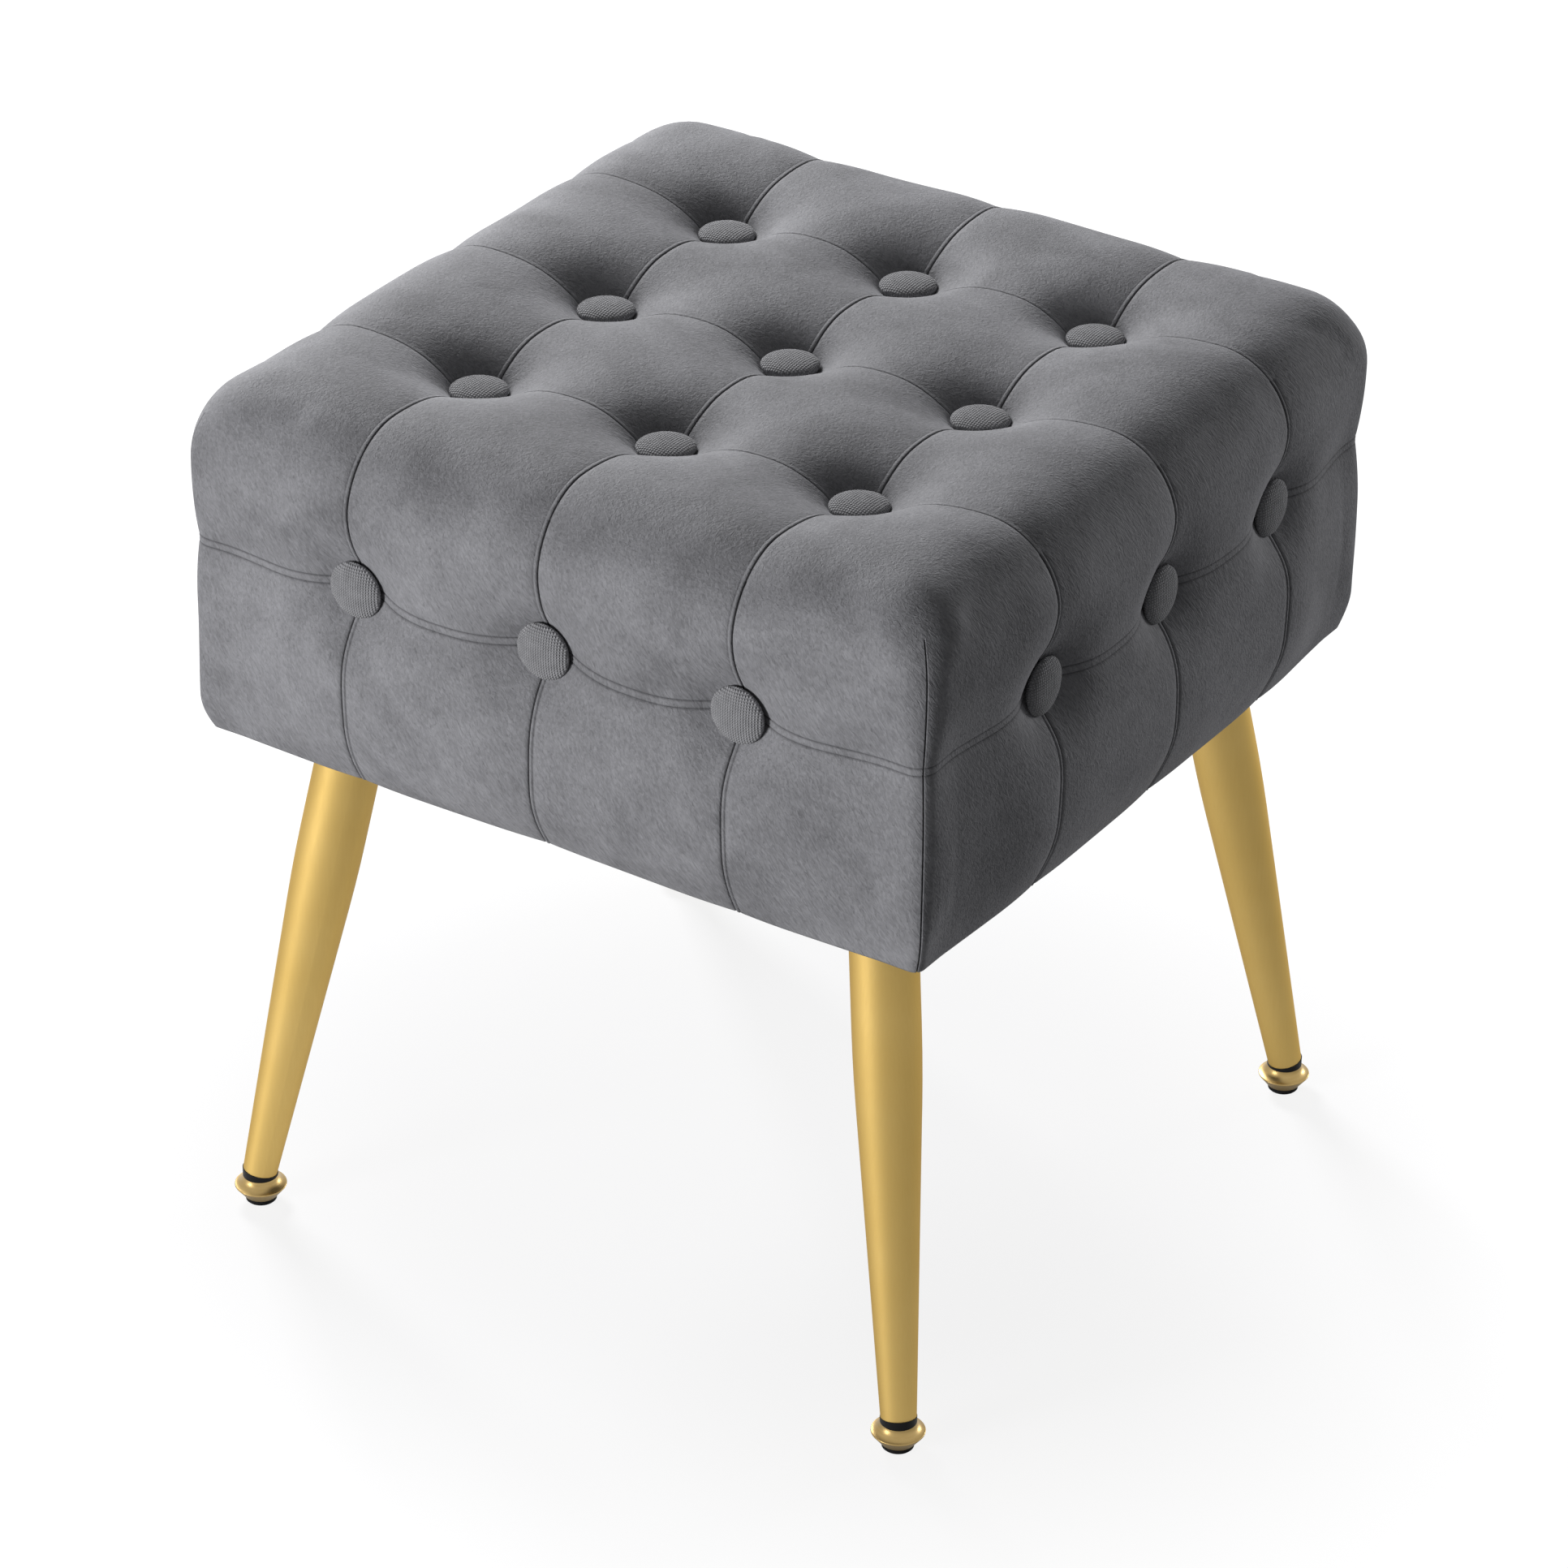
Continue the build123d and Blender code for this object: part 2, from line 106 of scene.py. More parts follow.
def per_metre(size):
    """The scale at which a texture repeats about every so many millimetres."""
    return 1000.0 / size


def bands_per_metre(size):
    """The scale at which the bands of a wave texture are so many millimetres apart."""
    return math.tau / 20 * per_metre(size)


def add_node(tree, kind, sockets=(), **settings):
    """Adds a node, sets its properties, and gives each socket a value or a link from an output."""
    node = tree.nodes.new("ShaderNode" + kind)
    for name, value in settings.items():
        setattr(node, name, value)
    for name, value in dict(sockets).items():
        if isinstance(value, bpy.types.NodeSocket):
            tree.links.new(value, node.inputs[name])
        else:
            node.inputs[name].default_value = value
    return node


def start_material(name, **values):
    """A new material's node tree, its shader with these plain values, and the piece's own coordinates."""
    material = bpy.data.materials.new(name)
    material.use_nodes = True
    tree = material.node_tree
    shader = tree.nodes["Principled BSDF"]
    for socket, value in values.items():
        shader.inputs[socket.replace("_", " ")].default_value = value
    place = add_node(tree, "TexCoord").outputs["Object"]
    return material, tree, shader, place


# %% [markdown]
# ## Floor, backdrop and light
#
# The photograph is a cut-out on white. A window-like light stands behind the left of the seat and rakes
# over the top, a low panel lights the front side, and a weak one behind the right just grazes the right
# side, so that each row of pillows shows its round. The panel alone would burn out the highlights of the
# legs, so metal doesn't see it, and mirrors a weaker lamp beside it instead. A white room could be
# modelled, but a floor that is white to the camera and keeps its shadow, under an even world, does the same
# with one object. Round the stool its glow is lowered, a painted shade. That floor also throws a little
# light up at the seat, and what metal mirrors of it is painted light, brighter on the window's side, with a
# painted shadow close round each foot.

# %% World
room_light = 0.085


def seen_rays(tree):
    """A light path, and 1 where the background shows, straight, mirrored or through glass, or else 0."""
    path = add_node(tree, "LightPath")
    mirror_ray = add_node(tree, "Math", {0: path.outputs["Is Camera Ray"], 1: path.outputs["Is Glossy Ray"]},
                          operation="MAXIMUM")
    seen_ray = add_node(tree, "Math", {0: mirror_ray.outputs[0], 1: path.outputs["Is Transmission Ray"]},
                        operation="MAXIMUM")
    return path, seen_ray.outputs[0]


world = bpy.data.worlds.new("white_room")
world.use_nodes = True
bpy.context.scene.world = world
tree = world.node_tree
seen = seen_rays(tree)[1]
strength = add_node(tree, "MapRange", {"Value": seen, "To Min": room_light, "To Max": 1.0})
tree.links.new(strength.outputs["Result"], tree.nodes["Background"].inputs["Strength"])
tree.nodes["Background"].inputs["Color"].default_value = colour("#FFFFFF")
print("room light:", room_light)

# %% Lamps
stool_middle = Vector((0.0, 0.0, 0.36))


def soft_light(name, direction, distance, size, level, mirrored=True):
    """A square lamp that lights a white face turned to it to this level, and may be kept out of the metal."""
    toward = Vector(direction).normalized()
    lamp = bpy.data.lights.new(name, "AREA")
    lamp.size = size
    lamp.energy = level * (math.pi * distance) ** 2
    holder = bpy.data.objects.new(name, lamp)
    bpy.context.scene.collection.objects.link(holder)
    holder.visible_glossy = mirrored
    holder.location = stool_middle + toward * distance
    holder.rotation_euler = toward.to_track_quat("Z", "Y").to_euler()
    print(name, "at", [round(c, 2) for c in holder.location], round(lamp.energy, 1), "W")


soft_light("window_behind_left", (-0.74, 0.48, 0.49), distance=2.6, size=0.9, level=1.36)
soft_light("panel_on_the_left", (-0.36, -0.93, 0.05), distance=5.0, size=1.6, level=0.66, mirrored=False)
soft_light("lamp_beside_the_panel", (-0.48, -0.87, 0.03), distance=5.0, size=1.2, level=0.40)
soft_light("door_behind_right", (0.37, 0.93, 0.00), distance=6.0, size=1.4, level=0.45)

# %% Floor
# Sizes and places are in metres, and a glow is a share of white.
floor_size = 12.0
floor_bounce = 0.12
lit_side = -0.12
far_side = 0.45
painted_shade_glow = 0.83
edge_glow = 1.0
painted_shade_start = 0.15
painted_shade_end = 0.52
painted_lit_side_glow = 1.0
painted_far_side_glow = 0.42
contact_reach = 0.04

bpy.ops.mesh.primitive_plane_add(size=floor_size, location=(0, 0, 0))
floor = bpy.context.object
floor.name = "floor"

# A pale painted sheet: white to the camera, with painted shade faintly greying it round the stool,
# grey in the stool's shade, and clear from below.
paper = bpy.data.materials.new("white_paper")
paper.use_nodes = True
tree = paper.node_tree
tree.nodes.remove(tree.nodes["Principled BSDF"])
path, seen = seen_rays(tree)
place = add_node(tree, "TexCoord").outputs["Object"]
away = add_node(tree, "VectorMath", {0: place}, operation="LENGTH").outputs["Value"]
# Painted shade: the glow is lower close round the stool, so the floor greys there.
painted_shade_pool = add_node(tree, "MapRange", {"Value": away, "From Min": painted_shade_start, "From Max": painted_shade_end,
                                   "To Min": painted_shade_glow, "To Max": edge_glow}, interpolation_type="SMOOTHSTEP")
# Painted light: what metal mirrors is painted bright as far as the lit side's edge and dims towards the far
# side.
across = add_node(tree, "SeparateXYZ", {0: place}).outputs["X"]
mirrored = add_node(tree, "MapRange", {"Value": across, "From Min": lit_side, "From Max": far_side,
                                       "To Min": painted_lit_side_glow, "To Max": painted_far_side_glow})
# Painted shadow: close round each foot the mirrored floor is darkened by occlusion, in place of its contact
# shadow.
contact = add_node(tree, "AmbientOcclusion", {"Distance": contact_reach}, samples=4)
mirrored_with_painted_shadow = add_node(tree, "Math", {0: mirrored.outputs["Result"], 1: contact.outputs["AO"]},
                    operation="MULTIPLY")
level = add_node(tree, "Mix", {0: path.outputs["Is Glossy Ray"], 2: painted_shade_pool.outputs["Result"],
                               3: mirrored_with_painted_shadow.outputs[0]})
share = add_node(tree, "MapRange", {"Value": seen, "To Min": floor_bounce, "To Max": 1.0})
glow = add_node(tree, "Math", {0: share.outputs["Result"], 1: level.outputs[0]}, operation="MULTIPLY")
sheet = add_node(tree, "BsdfDiffuse", {"Color": colour("#5E5E60")})
white = add_node(tree, "Emission", {"Color": colour("#FFFFFF"), "Strength": glow.outputs[0]})
lit = add_node(tree, "AddShader", {0: sheet.outputs[0], 1: white.outputs[0]})
clear = add_node(tree, "BsdfTransparent")
below = add_node(tree, "NewGeometry").outputs["Backfacing"]
either = add_node(tree, "MixShader", {0: below, 1: lit.outputs[0], 2: clear.outputs[0]})
tree.links.new(either.outputs[0], tree.nodes["Material Output"].inputs["Surface"])
floor.data.materials.append(paper)
print("floor:", floor_size, "m wide, bounce", floor_bounce)

# %% [markdown]
# ## Velvet
#
# The cover is a grey woven velvet. Its short pile is brushed one way and another by use, so the colour
# drifts in soft clouds, and close to it shows as fine worm-like strokes. A plain grey would look like clay.
# Noise at four real sizes, a little sheen for the pile's edge and a fine bump give the cloth its look, and
# an attribute that the cover carries darkens the rows of stitches and paints shade into the seams' crevices.

# %% Material of the cover
cloud_size = 62.0
pile_patch = 14.0
stroke_size = 1.3
stroke_length = 3.2
speck_size = 1.1
patch_share = 0.25
stroke_share = 0.4
nap_height = 0.5
nap_lie = Vector((0.45, 0.35, -0.82)).to_track_quat("Z", "Y").to_euler()

# Cut and brushed pile: matt, drifting between two greys, with a faint bloom at its edges.
velvet, tree, shader, place = start_material(
    "grey_pile_velvet", Roughness=0.8, Sheen_Weight=0.12, Sheen_Roughness=0.4)
shader.inputs["Specular IOR Level"].default_value = 0.2
shader.inputs["Sheen Tint"].default_value = colour("#D4D4DA")
cloud = add_node(tree, "TexNoise", {"Vector": place, "Scale": per_metre(cloud_size), "Detail": 3.0,
                                    "Distortion": 0.8})
patch = add_node(tree, "TexNoise", {"Vector": place, "Scale": per_metre(pile_patch), "Detail": 2.0,
                                    "Distortion": 0.6})
combed = add_node(tree, "Mapping", {"Vector": place, "Rotation": nap_lie, "Scale": (1.0, 1.0, stroke_length)},
                  vector_type="TEXTURE")
# The real strokes and specks are finer: they are drawn coarse enough to show at this distance.
stroke = add_node(tree, "TexNoise", {"Vector": combed.outputs[0], "Scale": per_metre(stroke_size),
                                     "Detail": 2.0, "Distortion": 0.8})
drift = add_node(tree, "Mix", {0: patch_share, 2: cloud.outputs["Fac"], 3: patch.outputs["Fac"]})
lay = add_node(tree, "Mix", {0: stroke_share, 2: drift.outputs[0], 3: stroke.outputs["Fac"]})
spread = add_node(tree, "MapRange", {"Value": lay.outputs[0], "From Min": 0.36, "From Max": 0.64})
brushed = add_node(tree, "Mix", {0: spread.outputs["Result"], 6: colour("#6D6D70"), 7: colour("#939397")},
                   data_type="RGBA")
speck = add_node(tree, "TexNoise", {"Vector": combed.outputs[0], "Scale": per_metre(speck_size),
                                    "Detail": 1.0, "Distortion": 1.2})
dots = add_node(tree, "MapRange", {"Value": speck.outputs["Fac"], "From Min": 0.26, "From Max": 0.38,
                                   "To Min": 0.3, "To Max": 0.0})
pile = add_node(tree, "Mix", {0: dots.outputs["Result"], 6: brushed.outputs[2], 7: colour("#3C3C3F")},
                data_type="RGBA")
# Painted shade: this attribute darkens the seams' crevices and the corner seams nearly to black, besides the
# rows of thread.
stitch_and_shade = add_node(tree, "Attribute", attribute_name="stitch_and_shade")
sewn = add_node(tree, "Mix", {0: stitch_and_shade.outputs["Fac"], 6: pile.outputs[2], 7: colour("#0E0E10")},
                data_type="RGBA")
tree.links.new(sewn.outputs[2], shader.inputs["Base Color"])
nap = add_node(tree, "Bump", {"Strength": 0.8, "Distance": nap_height * MM, "Height": stroke.outputs["Fac"]})
tree.links.new(nap.outputs["Normal"], shader.inputs["Normal"])
print(velvet.name, "has", len(tree.nodes), "nodes")

# %% [markdown]
# ## The tufted cover
#
# The cover is one sewn piece: a top of sixteen squares, four sides, a seam down each corner and one round
# the middle of the sides. Twenty-one buttons pull it in, and the wadding swells between them. It could be
# sculpted by hand, but a net of lines that runs along the seams gives clean stitches, so the net is laid on
# a sharp box, rounded to the seat's measured form, drawn in at the seams and buttons, and then blown up as
# cloth.

# %% Measures of the cover, in millimetres
button_low, button_high = (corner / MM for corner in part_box("front_buttons"))
button_radius = (button_high.z - button_low.z) / 2
pitch = (button_high.x - button_low.x) / 2 - button_radius
side_seam = (button_high.z + button_low.z) / 2
side_button_back = -button_high.y
top_button_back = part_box("top_buttons")[0].z / MM
hem_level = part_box("tufted_cover")[0].z / MM
crown_level = 448.0
side_out = 210.0
edge_roll = 40.0
core_half = side_out - edge_roll
core_top = crown_level - edge_roll
seams = np.array((-pitch, 0.0, pitch))
print("button pitch", round(pitch, 1), "mm, side seam at", round(side_seam, 1), "mm")

# %% The net: lines close together at the seams, wide apart on the crowns
stitch_lines = (0.6, 0.9, 1.15, 1.4, 1.9)
side_stitch_lines = (0.8, 1.4, 1.9, 2.4, 3.0)
lines_per_half = 16


def graded_lines(stops, near):
    """Positions from the first stop to the last, close together at each stop."""
    growth = np.sinh(np.linspace(0, 2, lines_per_half)) / math.sinh(2)
    parts = []
    for start, end in zip(stops, stops[1:]):
        rest = (end - start) / 2 - near[-1]
        away = np.concatenate(([0.0], near, near[-1] + rest * growth[1:]))
        parts += [start + away, end - away[-2:0:-1]]
    return np.concatenate(parts + [[stops[-1]]])


def even_lines(stops, gap):
    """Positions from the first stop to the last, about gap apart."""
    parts = [np.linspace(a, b, round((b - a) / gap), endpoint=False) for a, b in zip(stops, stops[1:])]
    return np.concatenate(parts + [[stops[-1]]])


def lay_net(lines, levels):
    """A box's top and sides along these lines and levels: points, faces and rings from the rim down."""
    n = len(lines)
    x, y = np.meshgrid(lines, lines, indexing="ij")
    top = np.column_stack((x.ravel(), y.ravel(), np.full(n * n, levels[-1])))
    number = np.arange(n * n).reshape(n, n)
    rim = np.concatenate((number[:-1, 0], number[-1, :-1], number[:0:-1, -1], number[0, :0:-1]))
    rows = [top]
    rings = [rim]
    for k, level in enumerate(levels[-2::-1]):
        rows.append(np.column_stack((top[rim, :2], np.full(len(rim), level))))
        rings.append(n * n + k * len(rim) + np.arange(len(rim)))
    caps = np.stack((number[:-1, :-1], number[1:, :-1], number[1:, 1:], number[:-1, 1:]), axis=-1)
    walls = [np.stack((a, b, np.roll(b, -1), np.roll(a, -1)), axis=-1) for a, b in zip(rings, rings[1:])]
    return np.concatenate(rows), np.concatenate([caps.reshape(-1, 4)] + walls), rings


plan_stops = (-side_out, *seams, side_out)
level_stops = (hem_level, side_seam, crown_level)
fine_lines = graded_lines(plan_stops, stitch_lines)
fine_net, fine_faces, fine_rings = lay_net(fine_lines, graded_lines(level_stops, side_stitch_lines))
print("net:", len(fine_net), "points,", len(fine_faces), "faces")

# %% The seat's plain form
corner_half = 198.0
hem_corner_radius = 5.0
seam_corner_radius = 11.0
roll_corner_radius = 18.0
roll_full = 0.85
corner_flat = 14.0
low_bulge = 3.5
hem_draw = 10.0
hem_corner_draw = 4.0
hem_hang = 1.5
right_hang = 3.0
back_fall = 2.4
hem_draw_start = 306.0
hem_corner_start = 286.0
blunting = 1 - 1 / math.sqrt(2)


def smooth(value, start, end):
    """0 before start, 1 after end, and an S between them."""
    t = np.clip((value - start) / (end - start), 0, 1)
    return t * t * (3 - 2 * t)


def seat_form(net):
    """The net rounded to the seat's form, and the way out of the surface at each point."""
    core = np.clip(net, (-core_half, -core_half, -np.inf), (core_half, core_half, core_top))
    out = net - core
    out /= np.linalg.norm(out, axis=1, keepdims=True)
    level = net[:, 2]
    lateral = np.abs(net[:, :2]).min(axis=1)

    radius = np.interp(level, (hem_level, side_seam, core_top),
                       (hem_corner_radius, seam_corner_radius, roll_corner_radius))
    radius += (edge_roll - radius) * smooth(out[:, 2], 0.0, roll_full)
    tuck = np.clip((hem_draw_start - level) / (hem_draw_start - hem_level), 0, 1) ** 2
    corner_tuck = np.clip((hem_corner_start - level) / (hem_corner_start - hem_level), 0, 1) ** 2
    below = np.clip((side_seam - level) / (side_seam - hem_level), 0, 1)
    middle = side_out + low_bulge * np.sin(math.pi * below) - hem_draw * tuck
    corner = corner_half + blunting * radius - hem_corner_draw * corner_tuck
    reach = middle + (corner - middle) * smooth(lateral, pitch, core_half + corner_flat) - core_half

    flat = np.linalg.norm(out[:, :2], axis=1)
    plan = out[:, :2] / np.maximum(flat, 1e-9)[:, None]
    ahead = np.maximum(np.abs(plan).max(axis=1), 1e-9)
    aside = np.abs(plan).min(axis=1)
    inset = reach - radius
    along = inset * (ahead + aside)
    round_reach = along + np.sqrt(np.maximum(along**2 - 2 * inset**2 + radius**2, 0))
    outward = np.where(round_reach * aside > inset, round_reach, reach / ahead)
    hang = hem_hang * smooth(lateral, pitch, core_half) + right_hang * smooth(net[:, 0], 0, side_out)
    fall = back_fall * smooth(net[:, 1], pitch, side_out) * smooth(level, core_top, crown_level)
    rise = edge_roll * out[:, 2] - hang * tuck**2 - fall
    return core + np.column_stack((plan * (flat * outward)[:, None], rise)), out


# %% Drawn in at the seams and the buttons
top_seam_depth = 6.5
mid_seam_depth = 2.8
edge_seam_depth = 2.2
edge_seam_reach = 30.0
edge_start = pitch + 8.0
edge_end = core_half - 4.0
low_seam_share = 0.5
low_seam_start = side_seam - 30.0
side_seam_depth = 3.0
side_seam_reach = 36.0
middle_sink = 4.0
sink_edge = 0.7 * pitch
top_dent_depth = 8.6
top_dent_radius = 46.0
side_dent_depth = 7.8
side_dent_radius = 47.0
dent_floor = button_radius + 1.0
dent_power = 2.4
pocket_floor = 12.0
pocket_edge = 15.5
seam_sag = 2.0
unevenness = 0.5


def seam_distances(net):
    """How far each point of the net is from the nearest seam across x, across y and round the sides."""
    across_x = np.abs(net[:, :1] - seams).min(axis=1)
    across_y = np.abs(net[:, 1:2] - seams).min(axis=1)
    return across_x, across_y, np.abs(net[:, 2] - side_seam)


def seam_fold(distance, along, level):
    """Depth of the fold beside a seam: deep at the buttons, shallow over the edge and faint low down."""
    over_edge = smooth(np.abs(along), edge_start, edge_end)
    at_button = np.where(np.abs(along) < pitch, np.cos(math.pi * along / pitch) ** 2, 1.0)
    depth = mid_seam_depth + (top_seam_depth - mid_seam_depth) * at_button
    depth += (edge_seam_depth - depth) * over_edge
    depth *= low_seam_share + (1 - low_seam_share) * smooth(level, low_seam_start, side_seam)
    reach = pitch / 2 + (edge_seam_reach - pitch / 2) * over_edge
    return depth * np.clip(1 - distance / reach, 0, 1) ** 2


def button_dent(distance, depth, radius):
    """Depth of the funnel round a button, flat under the button itself."""
    return depth * np.clip(1 - (distance - dent_floor) / (radius - dent_floor), 0, 1) ** dent_power


def tufting(net):
    """How far the seams and the buttons draw each point in."""
    across_x, across_y, around = seam_distances(net)
    folds = [seam_fold(across_x, net[:, 1], net[:, 2]), seam_fold(across_y, net[:, 0], net[:, 2]),
             side_seam_depth * np.clip(1 - around / side_seam_reach, 0, 1) ** 2]
    inner = np.abs(net[:, :2]).max(axis=1)
    sunk = middle_sink * (1 - smooth(inner, sink_edge, core_half))
    drawn = sunk.copy()
    for fold in folds:
        drawn += fold - (drawn - sunk) * fold / top_seam_depth
    top_distance = np.hypot(across_x, across_y)
    side_distance = np.hypot(np.minimum(across_x, across_y), around)
    drawn += np.minimum(button_dent(top_distance, top_dent_depth, top_dent_radius), top_dent_depth)
    drawn += np.minimum(button_dent(side_distance, side_dent_depth, side_dent_radius), side_dent_depth)
    return drawn, top_distance, side_distance


def tufted_form(net):
    """The net rounded, drawn in and slightly uneven, as sewn over its wadding."""
    form, out = seat_form(net)
    drawn, top_distance, side_distance = tufting(net)
    x, y, z = form.T
    # Slow waves of unlike lengths, because hand-packed wadding never lies even.
    waves = np.sin(x / 23 + 1.3) * np.sin(y / 27 + 0.4)
    waves += np.sin(z / 19 + x / 37 + 2.1) * np.sin(y / 31 - z / 43)
    free = smooth(np.minimum(top_distance, side_distance), pocket_edge, 2 * pocket_edge)
    form += out * (unevenness * waves * free - drawn)[:, None]
    lateral = np.abs(net[:, :2]).min(axis=1)
    sag = seam_sag * np.sin(math.pi * np.minimum(lateral / pitch, 1.5)) ** 2
    form[:, 2] -= sag * (1 - smooth(seam_distances(net)[2], 0, side_seam_reach))
    return form, out


# %% Blown up as cloth
thread_hold = 0.5
button_hold = 3.0


def pinned_points(net):
    """The points that thread holds: the seams, the buttons, the hem and the corner seams."""
    across_x, across_y, around = seam_distances(net)
    top_distance = np.hypot(across_x, across_y)
    side_distance = np.hypot(np.minimum(across_x, across_y), around)
    held = np.minimum(np.minimum(across_x, across_y), around) < thread_hold
    held |= np.minimum(top_distance, side_distance) < pocket_edge + button_hold
    held |= net[:, 2] < hem_level + thread_hold
    held |= np.abs(net[:, :2]).min(axis=1) > side_out - thread_hold
    return np.nonzero(held)[0]


def mesh_object(name, points, faces):
    """A new object whose mesh has these points, in millimetres, and these faces."""
    mesh = bpy.data.meshes.new(name)
    mesh.from_pydata((points * MM).tolist(), [], [list(face) for face in faces])
    mesh.validate()
    made = bpy.data.objects.new(name, mesh)
    bpy.context.scene.collection.objects.link(made)
    return made


def read_points(mesh):
    """A mesh's points as rows, in millimetres."""
    flat = np.empty(3 * len(mesh.vertices))
    mesh.vertices.foreach_get("co", flat)
    return flat.reshape(-1, 3) / MM


cloth_gap = 5.2
cloth_pressure = 40.0
cloth_mass = 0.01
cloth_frames = 20
swell_cap = 4.0


def blow_up(net, faces):
    """How far each point of a coarse net moves when the sewn cover is filled."""
    start = tufted_form(net)[0]
    bag = mesh_object("cloth_bag", start, faces)
    thread = bag.vertex_groups.new(name="thread")
    thread.add(pinned_points(net).tolist(), 1.0, "REPLACE")
    cloth = bag.modifiers.new("cloth", "CLOTH")
    cloth.settings.vertex_group_mass = "thread"
    cloth.settings.mass = cloth_mass
    cloth.settings.use_pressure = True
    cloth.settings.uniform_pressure_force = cloth_pressure
    cloth.settings.effector_weights.gravity = 0.0
    cloth.point_cache.frame_start = 1
    cloth.point_cache.frame_end = cloth_frames
    for step in range(1, cloth_frames + 1):
        bpy.context.scene.frame_set(step)
    filled = bag.evaluated_get(bpy.context.evaluated_depsgraph_get()).to_mesh()
    move = read_points(filled) - start
    bpy.context.scene.frame_set(1)
    bpy.data.objects.remove(bag)
    length = np.linalg.norm(move, axis=1, keepdims=True)
    return move * np.minimum(1, swell_cap / np.maximum(length, 1e-9))


coarse_lines = even_lines(plan_stops, cloth_gap)
coarse_levels = even_lines(level_stops, cloth_gap)
coarse_net, coarse_faces, coarse_rings = lay_net(coarse_lines, coarse_levels)
swell = blow_up(coarse_net, coarse_faces)
lengths = np.linalg.norm(swell, axis=1)
print("cloth moved by", round(lengths.mean(), 2), "mm on average,", round(lengths.max(), 2), "mm at most")

# %% The swelling carried over to the fine net
def cubic_weights(t):
    """Weights of the four grid points round a place between the middle two."""
    return ((-t**3 + 2 * t**2 - t) / 2, (3 * t**3 - 5 * t**2 + 2) / 2, (-3 * t**3 + 4 * t**2 + t) / 2,
            (t**3 - t**2) / 2)


def read_grid(grid, row, column, wrap):
    """Reads a grid of vectors between its points."""
    row_start = np.minimum(np.floor(row).astype(int), len(grid) - 2)
    column_start = np.floor(column).astype(int)
    result = 0
    for i, row_weight in enumerate(cubic_weights(row - row_start)):
        rows = np.clip(row_start + i - 1, 0, len(grid) - 1)
        for j, column_weight in enumerate(cubic_weights(column - column_start)):
            columns = column_start + j - 1
            columns = columns % grid.shape[1] if wrap else np.clip(columns, 0, grid.shape[1] - 1)
            result = result + (row_weight * column_weight)[:, None] * grid[rows, columns]
    return result


def around_box(points):
    """Distance of side points round the box's edge, counted from its front left corner."""
    x, y = points[:, 0] + side_out, points[:, 1] + side_out
    full = 2 * side_out
    edge = 1e-6
    return np.where(y < edge, x, np.where(x > full - edge, full + y, np.where(
        y > full - edge, 3 * full - x, 4 * full - y)))


def carried_over(fine, coarse, move):
    """The coarse net's movement read at the fine net's points."""
    n = len(coarse_lines)
    top_count = len(fine_lines) ** 2
    top_grid = move[:n * n].reshape(n, n, 3)
    steps = np.arange(n)
    top = read_grid(top_grid, np.interp(fine[:top_count, 0], coarse_lines, steps),
                    np.interp(fine[:top_count, 1], coarse_lines, steps), wrap=False)
    side_grid = np.stack([move[ring] for ring in coarse_rings])
    places = around_box(coarse[coarse_rings[0]])
    sides = fine[top_count:]
    row = np.interp(-sides[:, 2], -coarse_levels[::-1], np.arange(len(coarse_levels)))
    column = np.interp(around_box(sides), np.append(places, 8 * side_out), np.arange(len(places) + 1))
    return np.concatenate((top, read_grid(side_grid, row, column, wrap=True)))


cover_form, cover_out = tufted_form(fine_net)
cover_form += carried_over(fine_net, coarse_net, swell)
print("cover box", cover_form.min(axis=0).round(1), cover_form.max(axis=0).round(1))

# %% [markdown]
# The seams themselves come last, because the swelling would smear them. Each is a flat welt with the open
# seam, a crevice darkened with painted shade, along one side and a faint row of stitches along the other.
# Above the buttons the crevice is on the side of the nearest corner and below them it changes sides. Each
# corner has one plain closed seam, also darkened with painted shade, and under each button the cloth is
# pinched a little deeper, so that no light shows between them.

# %% Stitches
stitch_gap = 1.15
side_stitch_gap = 1.9
stitch_width = 0.42
top_stitch_width = 0.24
stitch_sink = 0.8
welt_rise = 0.3
welt_edge = 0.6
faint_seam = 0.5
faint_row = 0.3
top_faint_row = 0.09
side_row = 0.6
corner_seam_sink = 0.9
corner_seam_width = 0.55
top_pocket = 3.3
side_pocket = 1.0


def nearest_offset(place, lines):
    """How far each place is past the line nearest to it, with its sign."""
    offsets = place[:, None] - np.asarray(lines)
    return np.take_along_axis(offsets, np.abs(offsets).argmin(axis=1)[:, None], axis=1)[:, 0]


def stitch_row(offset, gap, width):
    """1 in the middle of a row of stitches that runs beside a seam at this gap, and 0 away from it."""
    return np.exp(-(((offset - gap) / width) ** 2))


